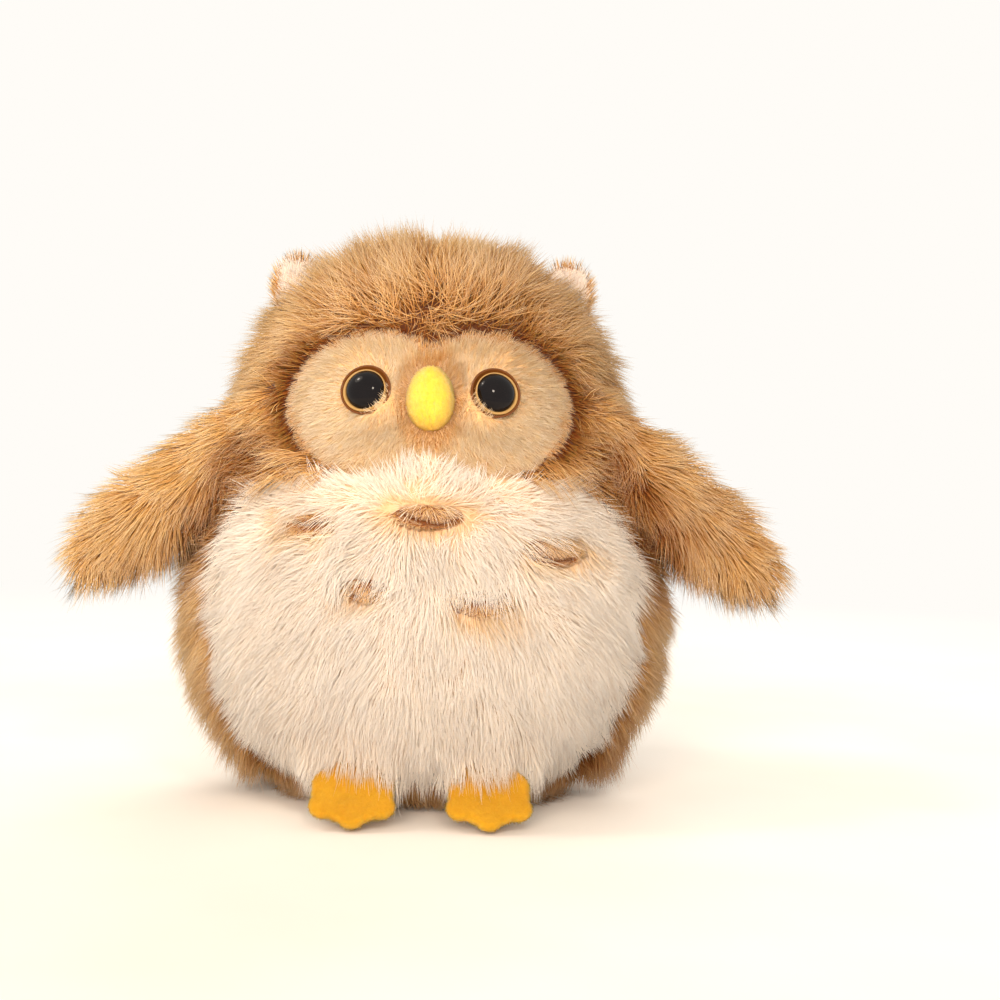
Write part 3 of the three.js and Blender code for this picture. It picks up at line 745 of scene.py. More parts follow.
LONG_PILE = pile_kind(2.9e6, 0.095 * MM, 2, 340, 0.6, 0.28, 1.5, 0.2)
BELLY_PILE = pile_kind(2.9e6, 0.085 * MM, 2, 420, 0.32, 0.18, 1.5, 0.2)
SPOT_PILE = pile_kind(1.4e7, 0.07 * MM, 1, 900, 0.15, 0.1, 0.6, 0.25)
SHORT_PLUSH = pile_kind(9e6, 0.1 * MM, 1, 600, 0.25, 0.1, 0.7, 0.25)
FUZZ = pile_kind(9e6, 0.06 * MM, 1, 900, 0.2, 0.1, 0.8, 0.6)
LONGEST_STRAND = 15 * MM
# How a pile lies: each amount is a number, or a table of what each named place adds to its base. What stands
# under times is added to 1 instead, and multiplies the rest
PLAIN_LAY = {"height share": 1.0, "fullness": 1.0, "unrest": 1.0, "hang": 0.0}


def amount(table, places):
    """What one amount of a lay comes to, where places says how much each named place holds."""
    if not isinstance(table, dict):
        return table
    named = {name: share for name, share in table.items() if name not in ("base", "times")}
    total = table["base"] + sum(share * places[name] for name, share in named.items())
    return total * (1 + sum(share * places[name] for name, share in table.get("times", {}).items()))


def laid(cloth, flow, lay, places=None, hang_way=DOWN):
    """What the pile needs at each point of the cloth. A strand lies along flow, leaves the cloth at the root
    rise and ends at the tip rise, both in degrees above it, and is long enough to reach the height. Where hang
    is 1, its tip points along hang_way instead."""
    flow = along_surface(flow, cloth.outs)
    count = len(cloth.points)
    at = {
        name: np.broadcast_to(amount(table, places or {}), count)
        for name, table in {**PLAIN_LAY, **lay}.items()
    }
    rises = [np.radians(at[name]) for name in ("root rise", "tip rise")]
    ways = [flow * np.cos(rise)[:, None] + cloth.outs * np.sin(rise)[:, None] for rise in rises]
    hang = at["hang"][:, None]
    lengths = at["height"] * at["height share"] * 2 / (np.sin(rises[0]) + np.sin(rises[1]))
    return {
        "out_way": cloth.outs,
        "root_way": ways[0],
        "tip_way": unit(ways[1] * (1 - hang) + hang_way * hang),
        "pile_length": np.minimum(lengths, LONGEST_STRAND),
        "fullness": at["fullness"],
        "shade": at["shade"],
        "unrest": at["unrest"],
    }


def pile(name, cloth, lay, kind, material, seed):
    """The pile on a cloth, as one piece."""
    host = shown(name, cloth.mesh(name), material)
    for key, values in lay.items():
        vector = np.ndim(values) == 2
        attribute = host.data.attributes.new(key, "FLOAT_VECTOR" if vector else "FLOAT", "POINT")
        data = np.ascontiguousarray(values, np.float32).ravel()
        attribute.data.foreach_set("vector" if vector else "value", data)
    grow = host.modifiers.new("pile", "NODES")
    grow.node_group = PILE_TREE
    for key, value in {**kind, "seed": seed, "finish": material}.items():
        grow[PILE_SOCKETS[key]] = value
    return worked(host, keep=("OFBake",))


def dress(piece, body, replaced=()):
    """Gives a piece the body that it rides on, and hides the solids that it stands for."""
    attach(piece, body)
    if replaced:
        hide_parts(*replaced)


# The body's shape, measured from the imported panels

BODY_PANELS = ["hood_panel", "back_panel_left", "back_panel_right", "base_panel", "belly_panel"]
corners = np.array([[list(c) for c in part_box(name)] for name in BODY_PANELS])
BODY_LOW, BODY_HIGH = corners[:, 0].min(0), corners[:, 1].max(0)
HEIGHT = BODY_HIGH[2]
DEPTH_SHARE = (BODY_HIGH[1] - BODY_LOW[1]) / (BODY_HIGH[0] - BODY_LOW[0])
MIDDLE = 0.42 * HEIGHT
DEEP = 8 * MM  # the depth of the second outline that is worked out
OUTLINE_STEP = 1  # degrees
STEADIED = 7  # steps, against single locks
SOFTENED = 13  # steps
MOVE_ROUNDS = 24
FRONT_ROUNDS = 40
PILE_INSET = 4.1 * MM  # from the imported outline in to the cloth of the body
PILE_HEIGHT = 6.9 * MM  # from the cloth to the tips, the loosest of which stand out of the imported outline
SOLE_PILE_HEIGHT = 2 * MM  # pressed flat under the base


def tree_of(*names):
    """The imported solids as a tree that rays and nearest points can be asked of."""
    points, faces = [], []
    for name in names:
        mesh = frame["nodes"][name].data
        start = len(points)
        points += [v.co for v in mesh.vertices]
        faces += [[start + i for i in p.vertices] for p in mesh.polygons]
    return BVHTree.FromPolygons(points, faces)


def side_outline():
    """Distances from the body's middle to the pile's tips, seen from the front, from base to crown."""
    solids = tree_of("hood_panel", "back_panel_left", "base_panel")
    angles = np.radians(np.arange(-90, 90 + OUTLINE_STEP, OUTLINE_STEP))
    middle = Vector((0, 0, MIDDLE))
    found = []
    for angle in angles:
        way = Vector((math.cos(angle), 0, math.sin(angle)))
        hit = solids.ray_cast(middle + way * 2 * HEIGHT, -way)[0]
        found.append((hit - middle).length)
    near = np.pad(found, STEADIED // 2, mode="reflect")
    steady = np.median(np.lib.stride_tricks.sliding_window_view(near, STEADIED), axis=1)
    spread = np.exp(-np.linspace(-2, 2, SOFTENED) ** 2)
    wide = np.pad(steady, SOFTENED // 2, mode="reflect")
    return angles, np.convolve(wide, spread / spread.sum(), mode="valid")


def moved_in(angles, outline, inset):
    """The same distances for the outline a given way inside."""
    ways = np.stack([np.cos(angles), np.sin(angles)], 1)
    edge = ways * outline[:, None]
    edge = np.concatenate([edge * (-1, 1), edge[::-1]])
    low, high = np.zeros(len(angles)), outline.copy()
    for _ in range(MOVE_ROUNDS):
        tried = (low + high) / 2
        inside = from_segments(ways * tried[:, None], edge[:-1], np.diff(edge, axis=0)) > inset
        low, high = np.where(inside, tried, low), np.where(inside, high, tried)
    return low


ANGLES, OUTER = side_outline()
INNER = moved_in(ANGLES, OUTER, DEEP)


def on_body(turns, rises, inset):
    """Points under the pile's tips, turned from the face to the owl's left and raised from the middle."""
    share = np.asarray(inset) / DEEP
    reach = np.interp(rises, ANGLES, OUTER) * (1 - share) + np.interp(rises, ANGLES, INNER) * share
    across = reach * np.cos(rises)
    height = MIDDLE + reach * np.sin(rises)
    return np.stack([across * np.sin(turns), -across * np.cos(turns) * DEPTH_SHARE, height], -1)


def front_of_body(x, z, inset):
    """Points of the body's front that are seen at x and z from the front."""
    low = np.full(len(x), -math.pi / 2)
    high = np.full(len(x), math.pi / 2)
    for _ in range(FRONT_ROUNDS):
        rises = (low + high) / 2
        under = on_body(0 * rises, rises, inset)[:, 2] < z
        low, high = np.where(under, rises, low), np.where(under, high, rises)
    across = -on_body(0 * rises, rises, inset)[:, 1] / DEPTH_SHARE
    return on_body(np.arcsin(np.clip(x / across, -1, 1)), rises, inset)


# Where the fabrics meet, seen from the front

FACE_LOW, FACE_HIGH = (np.array(corner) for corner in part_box("face_panel"))
FACE_HEIGHT = 33 * MM
FACE_LOBE_SHARE = 0.62
FACE_MIDDLE = FACE_HIGH[2] - FACE_HEIGHT / 2
BELLY_HALF = np.array(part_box("belly_panel")[1])[[0, 2]]
# Half the belly's outline, from the tuft round to the base, in half widths and in heights
BELLY_SHARES = [(0, 1), (0.17, 0.955), (0.4, 0.94), (0.65, 0.925), (0.84, 0.87), (0.95, 0.79)]
BELLY_SHARES += [(0.995, 0.68), (1, 0.54), (0.96, 0.38), (0.85, 0.23), (0.68, 0.1), (0.5, 0)]
# Each spot, and where its plush parts down to its roots, across and up in mm
SPOT_CREASES = {
    "belly_spot_1": [[(-34, 70.3), (-31, 69), (-27.5, 68.4), (-23, 69.2)]],
    "belly_spot_2": [[(-7.6, 73), (-5, 71.2), (-2, 70.2), (2.1, 69.4), (6, 70.2), (8.5, 72)]],
    "belly_spot_3": [[(22.3, 66.2), (23, 64.4), (25.7, 62.4), (28.8, 61.4), (33.5, 61.7)]],
    "belly_spot_4": [
        [(-17.6, 55), (-16.5, 53.4), (-15.6, 53)],
        [(-17.4, 55.2), (-13.6, 56.8), (-9.8, 55)],
    ],
    "belly_spot_5": [
        [(5.8, 55), (7.8, 53.6), (10.8, 52.5), (14, 53.2), (18.5, 54.4)],
        [(6.8, 51.8), (8, 49.8), (10.8, 48.8)],
    ],
}
SPOTS = list(SPOT_CREASES)
WING_FOLD = np.array([(41, 84), (51, 69), (57, 58)]) * MM  # across and up
WING_FOLD_EDGE = (9 * MM, 3 * MM)


def middle_and_half(name):
    """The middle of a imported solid's box, and half its size."""
    low, high = (np.array(corner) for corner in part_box(name))
    return (low + high) / 2, (high - low) / 2


SPOT_BOXES = {name: middle_and_half(name) for name in SPOTS}


def in_lobes(points):
    """How far a point of the front lies inside the face's two lobes, negative outside."""
    width = (FACE_HIGH[0] - FACE_LOW[0]) * FACE_LOBE_SHARE
    offset = (FACE_HIGH[0] - FACE_LOW[0] - width) / 2
    depths = []
    for side in (-1, 1):
        x = (points[:, 0] - side * offset) / (width / 2)
        z = (points[:, 2] - FACE_MIDDLE) / (FACE_HEIGHT / 2)
        depths.append((1 - np.hypot(x, z)) * FACE_HEIGHT / 2)
    return np.where(points[:, 1] < 0, np.maximum(*depths), -HEIGHT)


def in_belly(points):
    """How far a point of the front lies inside the belly's outline, negative outside."""
    half = np.array(BELLY_SHARES) * BELLY_HALF
    start = np.concatenate([half, half[::-1] * (-1, 1)])
    end = np.roll(start, -1, axis=0)
    run = end - start
    gap = from_segments(points[:, [0, 2]], start, run)
    x, z = points[:, :1], points[:, 2:]
    level = (start[:, 1] <= z) != (end[:, 1] <= z)
    crossing = start[:, 0] + (z - start[:, 1]) * run[:, 0] / np.where(run[:, 1] == 0, 1, run[:, 1])
    odd = (level & (crossing > x)).sum(1) % 2 == 1
    return np.where(points[:, 1] < 0, np.where(odd, gap, -gap), -HEIGHT)


def from_line(points, line):
    """How far points of the front are from a line through places across and up."""
    return from_segments(points[:, [0, 2]], line[:-1], np.diff(line, axis=0))


def in_shaded_fold(points):
    """1 in the fold between a wing's front and the body, where the pile is painted in shade, and 0 away from
    it.
    """
    return smooth(*WING_FOLD_EDGE, from_line(np.abs(points), WING_FOLD)) * (points[:, 1] < 0)


def in_spots(points):
    """For each spot, how far out a point of the front is, as a share of the spot's half size."""
    shares = [((points - middle) / half)[:, [0, 2]] for middle, half in SPOT_BOXES.values()]
    return np.linalg.norm(shares, axis=-1)


# The body's cloth

BODY_TURNS = 208
BODY_RISES = 128
FACE_CLOTH = 5.2 * MM  # the face's cloth under the long pile's tips, at the edges of its lobes
FACE_PADDING = 1.2 * MM  # how far a lobe swells in its middle
FACE_SWELL = 9 * MM  # from a lobe's edge in to where it is fullest
SOLE_RISES = np.radians((-52, -68))  # from the body's middle, where the pile becomes pressed flat
FABRIC = 2.2 * MM


def eye_place(side):
    """Where an eye's axis meets its pupil's back, and the way out along that axis."""
    pupil, washer = (sum(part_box(f"eye_{side}_{part}"), Vector()) / 2 for part in ("pupil", "washer"))
    return pupil, (pupil - washer).normalized()


EYES = {side: eye_place(side) for side in SIDES}


def cloth_depth(points, rises):
    """How far the cloth lies under the outline of the pile's tips."""
    face = in_lobes(points)
    swell = FACE_PADDING * smooth(0, FACE_SWELL, face)
    depth = np.where(face > 0, FACE_CLOTH - swell, PILE_INSET)
    return depth + (SOLE_PILE_HEIGHT - PILE_INSET) * smooth(*SOLE_RISES, rises)


def body_cloth():
    """The whole body's cloth, with the way out of the body at each point."""
    turns = np.linspace(0, math.tau, BODY_TURNS, endpoint=False)
    rises = np.linspace(-math.pi / 2, math.pi / 2, BODY_RISES + 1)[1:-1]
    grid_rises, grid_turns = (g.ravel() for g in np.meshgrid(rises, turns, indexing="ij"))
    tips = on_body(grid_turns, grid_rises, 0 * grid_rises)
    shape = (BODY_RISES - 1, BODY_TURNS, 3)
    outs = lofted(tips.reshape(shape)).outs
    points = on_body(grid_turns, grid_rises, cloth_depth(tips, grid_rises))
    cloth = lofted(points.reshape(shape))
    return Cloth(cloth.points, outs, cloth.faces)


def by_panel(cloth, names):
    """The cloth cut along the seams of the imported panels: each face goes to the panel that it lies in."""
    trees = [tree_of(name) for name in names]
    nearest = np.array([[tree.find_nearest(Vector(c))[3] for tree in trees] for c in cloth.centres()])
    owner = nearest.argmin(1)
    return {name: cloth.part(np.flatnonzero(owner == i)) for i, name in enumerate(names)}


BODY = by_panel(body_cloth(), [*BODY_PANELS, "face_panel"])

# The hood's pile. Each pair here and below is where an effect starts and where it is full

BROW = np.array([0, BODY_LOW[1] * 0.85, 112 * MM])
BROW_TUFT = np.array([4 * MM, BODY_LOW[1] * 0.7, 119 * MM])
BROW_TUFT_REACH = 15 * MM
BROW_TUFT_NARROWNESS = (0.55, 0.8, 1)  # across, back and up
BROW_SEAM = np.array([(0, 107.5), (6, 111), (12.5, 114)]) * MM  # painted shade over dark roots, across and up
BROW_SEAM_EDGE = (2.4 * MM, 0.8 * MM)
HOOD_SIDE = (20 * MM, 45 * MM)
HOOD_SIDE_DROOP = 0.9
HOOD_FRONT = (25 * MM, -15 * MM)
HOOD_BACK_WAY = (0, 0.5, -1)
BY_FACE = (7 * MM, 0)
FACE_RIM = (3.6 * MM, 1.2 * MM)
# Painted shade on the owl's left half, the side away from the side lamps
SHADED_LEFT_HALF = (0, 45 * MM)
# Painted shade: the pile is darkened along its edge round the face and the seam above the beak, and in the
# folds by the wings
HOOD_LAY = {
    "root rise": {"base": 60, "tuft": 18, "rim": -20},
    "tip rise": {"base": 22, "tuft": 40, "rim": -10},
    "height": PILE_HEIGHT,
    "height share": {"base": 1, "by face": -0.3, "rim": -0.3, "tuft": 0.1, "seam": -0.5},
    "fullness": {"base": 1.25, "rim": -0.35, "tuft": -0.6, "fold": -0.55, "times": {"seam": -0.85}},
    "shade": {"base": 0.26, "tuft": 0.2, "shaded edge": 0.8, "fold": 0.9, "left": 0.12},
    "unrest": {"base": 1.2, "tuft": 5, "fold": 1.5},
}


def hood_lay(cloth):
    """The hood's pile lies away from the brow over the head, then back and down."""
    p = cloth.points
    droop = HOOD_SIDE_DROOP * smooth(*HOOD_SIDE, np.abs(p[:, 0]))
    away = along_surface(p - BROW, cloth.outs) + DOWN * droop[:, None]
    over = along_surface(np.broadcast_to(HOOD_BACK_WAY, p.shape), cloth.outs)
    front = smooth(*HOOD_FRONT, p[:, 1])[:, None]
    from_tuft = np.linalg.norm((p - BROW_TUFT) * BROW_TUFT_NARROWNESS, axis=1)
    rim = smooth(*FACE_RIM, -in_lobes(p))
    seam = smooth(*BROW_SEAM_EDGE, from_line(p, BROW_SEAM))
    places = {
        "by face": smooth(*BY_FACE, -in_lobes(p)),
        "rim": rim,
        "tuft": np.exp(-((from_tuft / BROW_TUFT_REACH) ** 2)),
        "seam": seam,
        "shaded edge": np.maximum(rim, seam),
        "fold": in_shaded_fold(p),
        "left": smooth(*SHADED_LEFT_HALF, p[:, 0]),
    }
    return laid(cloth, away * front + over * (1 - front), HOOD_LAY, places)


# The back's pile

TRUNK_OUTWARDS = 0.35
TRUNK_ASIDE = (0.55, 0, 0)
TRUNK_BACKWARDS = (0, 0.1, 0)
TRUNK_FRONT = (10 * MM, -25 * MM)
TRUNK_BEHIND = (-5 * MM, 15 * MM)
TRUNK_LOW = (34 * MM, 10 * MM)
TRUNK_LOWEST = (16 * MM, 8 * MM)
# Painted shade: the pile is darkened in the folds by the wings and on the owl's left half
BACK_LAY = {
    "root rise": 60,
    "tip rise": 26,
    "height": PILE_HEIGHT,
    "height share": {"base": 1, "low": 0.3, "lowest": -0.5, "fold": -0.35},
    "fullness": {"base": 1.05, "behind": -0.15, "fold": -0.5},
    "shade": {"base": 0.3, "low": 0.25, "fold": 0.9, "left": 0.25},
    "unrest": {"base": 1.2, "fold": 1.5},
    "hang": {"base": 0, "low": 0.35},
}


def back_lay(cloth):
    """The brown pile of the trunk lies down and outwards."""
    p = cloth.points
    outwards = unit(p * (1, 1, 0)) * TRUNK_OUTWARDS
    away = np.sign(p[:, :1]) * TRUNK_ASIDE + TRUNK_BACKWARDS
    places = {
        "low": smooth(*TRUNK_LOW, p[:, 2]),
        "lowest": smooth(*TRUNK_LOWEST, p[:, 2]),
        "behind": smooth(*TRUNK_BEHIND, p[:, 1]),
        "fold": in_shaded_fold(p),
        "left": smooth(*SHADED_LEFT_HALF, p[:, 0]),
    }
    flow = DOWN + outwards + away * smooth(*TRUNK_FRONT, p[:, 1])[:, None]
    return laid(cloth, flow, BACK_LAY, places)


# The base's pile

BASE_SIDE = (1.2 * MM, 4.5 * MM)
BASE_OUTER_SIDE = (14 * MM, 26 * MM)
BASE_TURN_DOWN = 0.6
BASE_LAY = {
    "root rise": {"base": 22, "side": 28},
    "tip rise": {"base": 4, "side": 14},
    "height": {"base": 1.3 * MM, "side": 1.6 * MM, "outer side": 1.8 * MM},
    "fullness": {"base": 0.4, "side": 0.7},
    "shade": 0.6,
    "hang": {"base": 0, "side": 0.4},
}


def base_lay(cloth):
    """The pile under the base is pressed flat, away from its middle, and stands out round its side."""
    p = cloth.points
    side = smooth(*BASE_SIDE, p[:, 2])
    outer = smooth(*BASE_OUTER_SIDE, np.abs(p[:, 0]))
    outwards = unit(p * (1, 1, 0) + (1e-5, 0, 0))
    flow = outwards * (1 - BASE_TURN_DOWN * side[:, None]) + DOWN * side[:, None]
    return laid(cloth, flow, BASE_LAY, {"side": side, "outer side": side * outer})


# The belly's pile

BELLY_PARTING = 74 * MM  # the height at which the pile turns from up to down
PARTING_REACH = 10 * MM
PARTING_UP = 0.7
FIRM_FLOW = (0, 0.8)  # its length, from where strands stand up to where they lie down
BELLY_SPREAD = 48 * MM
BELLY_TOP = (58 * MM, 78 * MM)
BELLY_RIM = (13 * MM, 1 * MM)
BELLY_SIDE = (26 * MM, 36 * MM)
BELLY_TUFT_WIDTH = 6 * MM
BELLY_TUFT_FOOT = (74 * MM, 82 * MM)
BELLY_TUFT_RISE = 0.3
BELLY_RIM_TURN = 0.7
BELLY_SEAM = (0, 1.5 * MM)
BELLY_SEAM_AT_TOP = 0.8 * MM
BELLY_HIGH_UP = (45 * MM, 60 * MM)
BELLY_LOW_DOWN = (50 * MM, 20 * MM)
BELLY_HANG = (42 * MM, 16 * MM)
BELLY_HANG_ACROSS = (38 * MM, 22 * MM)
LOW_EDGE = (24 * MM, 13 * MM)
OVER_FOOT_ACROSS = (12.5 * MM, 9.5 * MM)
OVER_FOOT_BARE = (14.5 * MM, 13 * MM)
OVER_FOOT = (24 * MM, 17 * MM)
OVER_FOOT_WAY = (0, -0.9, 0)
# Round a spot, in its half sizes from its middle or in lengths from its crease
SPOT_SHORT = (1.8, 0.9), (3.2 * MM, 1.2 * MM)
SPOT_HALO = (1.8, 0.9), (3 * MM, 1 * MM)
SPOT_LEAN = (2, 1.2)
SPOT_EDGE = (0.5, 1.05)
UNDER_CREASE = (0.6 * MM, 1.4 * MM)
OFF_CREASE = (0.7 * MM, 1.5 * MM)
SPOT_OPEN = 0.6  # share of a spot that the pile round it leaves open
SPOT_LEAST = 2.6 * MM  # shortest strand beside a spot
SPOT_SLOPE = 0.8  # of a strand's length, seen from the front
# Painted shade and light: the pile is darker at the top, where the lamps fall strongest, and where strands
# stand up at the parting, and lighter low down, where less light reaches
BELLY_LAY = {
    "root rise": {"base": 78, "firm": -22, "top rim": 14, "side": -6, "times": {"lean": -0.4}},
    "tip rise": {"base": 46, "strength": -28, "top rim": 34, "side": -4, "times": {"lean": -0.5}},
    "height": PILE_HEIGHT,
    "height share": {
        "base": 0.8, "top": -0.1, "tuft": 0.15, "low edge": -0.25, "side": -0.1, "over foot": 0.4,
        "times": {"by spot": -0.3},
    },
    "fullness": {"base": 0, "grown": 1.6},
    "shade": {"base": 0.23, "low": -0.1, "top": 0.2, "strength": -0.15, "halo": 0.85},
    "unrest": {"base": 0.9, "high": 0.8},
    "hang": {"base": 0, "hanging": 0.85},
}


def belly_lay(cloth):
    """The belly's pile parts in its upper middle: it turns up and outwards above, and hangs below."""
    p = cloth.points
    across, height = np.abs(p[:, 0]), p[:, 2]
    edge = in_belly(p)
    top = smooth(*BELLY_TOP, height)
    rim = smooth(*BELLY_RIM, edge)
    side = rim * smooth(*BELLY_SIDE, across)
    over = smooth(*OVER_FOOT_ACROSS, np.abs(across - JOINTS["foot_left"]["pos_m"][0]))
    over_foot = over * smooth(*OVER_FOOT, height)

    tuft = np.exp(-((across / BELLY_TUFT_WIDTH) ** 2)) * smooth(*BELLY_TUFT_FOOT, height)
    aside = p[:, 0] / BELLY_SPREAD * (1 - BELLY_RIM_TURN * rim * (1 - top) * (1 - side)) * (1 - tuft)
    up = np.clip((height - BELLY_PARTING) / PARTING_REACH, -1, PARTING_UP) + BELLY_TUFT_RISE * tuft
    flow = np.stack([aside, 0 * aside, up], 1)
    strength = smooth(*FIRM_FLOW, np.hypot(aside, up))
    spots = near_spots(p)
    seam = smooth(*BELLY_SEAM, edge - BELLY_SEAM_AT_TOP * top)
    bare_foot = over * smooth(*OVER_FOOT_BARE, height)
    places = {
        **spots,
        "top": top,
        "side": side,
        "top rim": rim * top * (1 - side),
        "tuft": tuft,
        "strength": strength,
        "firm": strength * (1 - over_foot),
        "low edge": smooth(*LOW_EDGE, height) * (1 - over_foot),
        "over foot": over_foot,
        "grown": spots["off spots"] * seam * (1 - bare_foot),
        "low": smooth(*BELLY_LOW_DOWN, height),
        "high": smooth(*BELLY_HIGH_UP, height),
        "hanging": smooth(*BELLY_HANG, height) * smooth(*BELLY_HANG_ACROSS, across),
    }
    lay = laid(cloth, flow, BELLY_LAY, places, unit(DOWN + np.outer(over_foot, OVER_FOOT_WAY)))
    room = SPOT_LEAST + room_to_spots(p, lay["root_way"]) / SPOT_SLOPE
    lay["pile_length"] = np.minimum(lay["pile_length"], room)
    return lay


def near_spots(points):
    """What the spots say about the pile near them."""
    nearest = in_spots(points).min(0)
    crease = np.minimum.reduce([from_creases(name, points) for name in SPOTS])
    outside = np.maximum(smooth(*SPOT_EDGE, nearest), smooth(*UNDER_CREASE, under_crease(points)))
    by_spot, halo = (
        np.maximum(smooth(*from_middle, nearest), smooth(*from_crease, crease))
        for from_middle, from_crease in (SPOT_SHORT, SPOT_HALO)
    )
    return {
        "by spot": by_spot,
        "halo": halo,
        "lean": smooth(*SPOT_LEAN, nearest),
        "off spots": smooth(*OFF_CREASE, crease) * outside,
    }


def room_to_spots(points, ways):
    """How far a strand can lie along its way, seen from the front, before it covers a spot."""
    room = np.full(len(points), HEIGHT)
    ways = unit(ways[:, [0, 2]])
    for middle, half in SPOT_BOXES.values():
        place = (points - middle)[:, [0, 2]] / half[[0, 2]]
        way = ways / half[[0, 2]]
        ahead = -(place * way).sum(1)
        steep = (way * way).sum(1)
        under = ahead**2 - steep * ((place * place).sum(1) - SPOT_OPEN**2)
        reach = (ahead - np.sqrt(np.maximum(under, 0))) / steep
        met = (under > 0) & (ahead > 0)
        room = np.where(met, np.minimum(room, np.maximum(reach, 0)), room)
    return room


# The long-pile covers of the body

BODY_COVERS = {  # name, lay, stretches of pile
    "hood_panel": ("hood", hood_lay, 4),
    "back_panel_left": ("back_left", back_lay, 2),
    "back_panel_right": ("back_right", back_lay, 2),
    "base_panel": ("base", base_lay, 1),
    "belly_panel": ("belly", belly_lay, 4),
}


def body_pieces():
    """Each long-pile cover of the body is a padded backing with its pile in stretches."""
    for seed, (node, (name, lay, count)) in enumerate(BODY_COVERS.items()):
        pale = node == "belly_panel"
        kind, material = (BELLY_PILE, CREAM_PILE) if pale else (LONG_PILE, BROWN_PILE)
        under = backing(f"{name}_backing", BODY[node], FABRIC, CREAM_BACKING if pale else BROWN_BACKING)
        dress(under, "body", [node])
        for i, stretch in enumerate(BODY[node].stretches(count)):
            if pale:
                stretch = stretch.finer().finer()
            hair = pile(f"{name}_pile_{i + 1}", stretch, lay(stretch), kind, material, 10 * seed + i)
            dress(hair, "body")


# The face, with its plush lying away from the eyes and swelling over the inner lower edge of each

BEAK_LOW, BEAK_HIGH = (np.array(corner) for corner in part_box("beak_cover"))
BEAK_MIDDLE = (BEAK_LOW + BEAK_HIGH) / 2
BY_EYE = (9 * MM, 6.5 * MM)
EYE_EDGE = (4.6 * MM, 5.6 * MM)
BEAK_SHADE_REACH = (1.9, 1.0)  # in half sizes of the beak, where painted shade darkens the plush round it
BEAK_PUSH = 0.8  # against that of an eye
FACE_LOW_DOWN = (FACE_MIDDLE, FACE_MIDDLE - 11 * MM)
FACE_SHADED_SIDE = (-25 * MM, 30 * MM)
LOBE_EDGE = (2.5 * MM, 0)
FACE_DROOP = 0.25
FACE_PILE_HEIGHT = 1.7 * MM
# Painted shade: the plush is darkened round the beak, along the edges of its lobes under the hood, and on the
# owl's left side
FACE_LAY = {
    "root rise": 44,
    "tip rise": 20,
    "height": FACE_PILE_HEIGHT,
    "height share": {"base": 1, "by eye": -0.4, "by edge": -0.4},
    "fullness": {"base": 0, "open": 1},
    "shade": {"base": 0.32, "low": 0.1, "beak shade": 0.7, "left": 0.1, "by edge": 0.7},
}
CHEEK_LIP = {"right": 5.5 * MM, "left": 6 * MM}  # the top of the lip, from the eye's axis
CHEEK_ROUND = 2 * MM
CHEEK_END = 13 * MM
CHEEK_HEIGHT = 3.4 * MM
CHEEK_TURN = math.radians(72)  # each way round the eye
CHEEK_POINTEDNESS = 1.2
CHEEK_SINK = 0.4 * MM  # of its edge into the face
CHEEK_UNDER = 1.2 * MM
CHEEK_TURNS, CHEEK_OVER, CHEEK_BELOW = 61, 34, 10  # rings, and points over and under each
ROUND_OVER, ROUND_BELOW = 0.98, 0.9  # how far round its lip the cloth reaches from above and from below
CHEEK_HEM = 0.2 * MM
CHEEK_INWARDS = (1 * MM, -0.5 * MM)  # from the top of the lip
CHEEK_FACING = (-0.1, 0.3)
CHEEK_LIP_LAY = {"root rise": 55, "tip rise": 35, "height": FACE_PILE_HEIGHT, "shade": 0.3}


def from_eye(points, side):
    """The way from an eye's axis to each point, seen from the front, and its length."""
    way = (points - np.array(EYES[side][0])) * (1, 0, 1)
    return way, np.linalg.norm(way, axis=1)


def face_lay(cloth):
    """The face's plush lies away from the eyes and the beak, and is shorter round each eye."""
    p = cloth.points
    away = np.zeros_like(p)
    by_eye = np.zeros(len(p))
    open_cloth = np.ones(len(p))
    for side in SIDES:
        way, gap = from_eye(p, side)
        away += way / gap[:, None] ** 2
        by_eye = np.maximum(by_eye, smooth(*BY_EYE, gap))
        open_cloth *= smooth(*EYE_EDGE, gap)
    from_beak = (p - BEAK_MIDDLE) * (1, 0, 1)
    away += from_beak / np.linalg.norm(from_beak, axis=1)[:, None] ** 2 * BEAK_PUSH
    beak_share = np.linalg.norm(from_beak / ((BEAK_HIGH - BEAK_LOW) / 2), axis=1)
    places = {
        "by eye": by_eye,
        "beak shade": smooth(*BEAK_SHADE_REACH, beak_share),
        "by edge": smooth(*LOBE_EDGE, in_lobes(p)),
        "low": smooth(*FACE_LOW_DOWN, p[:, 2]),
        "left": smooth(*FACE_SHADED_SIDE, p[:, 0]),
        "open": open_cloth,
    }
    return laid(cloth, unit(away) + DOWN * FACE_DROOP, FACE_LAY, places)


def face_pieces():
    cloth = BODY["face_panel"]
    under = backing("face_backing", cloth, FABRIC, FACE_BACKING, 1)
    dress(under, "body", ["face_panel"])
    dress(pile("face_plush", cloth, face_lay(cloth), SHORT_PLUSH, FACE_PLUSH, 61), "body")
    for side in SIDES:
        cheek_pieces(side)


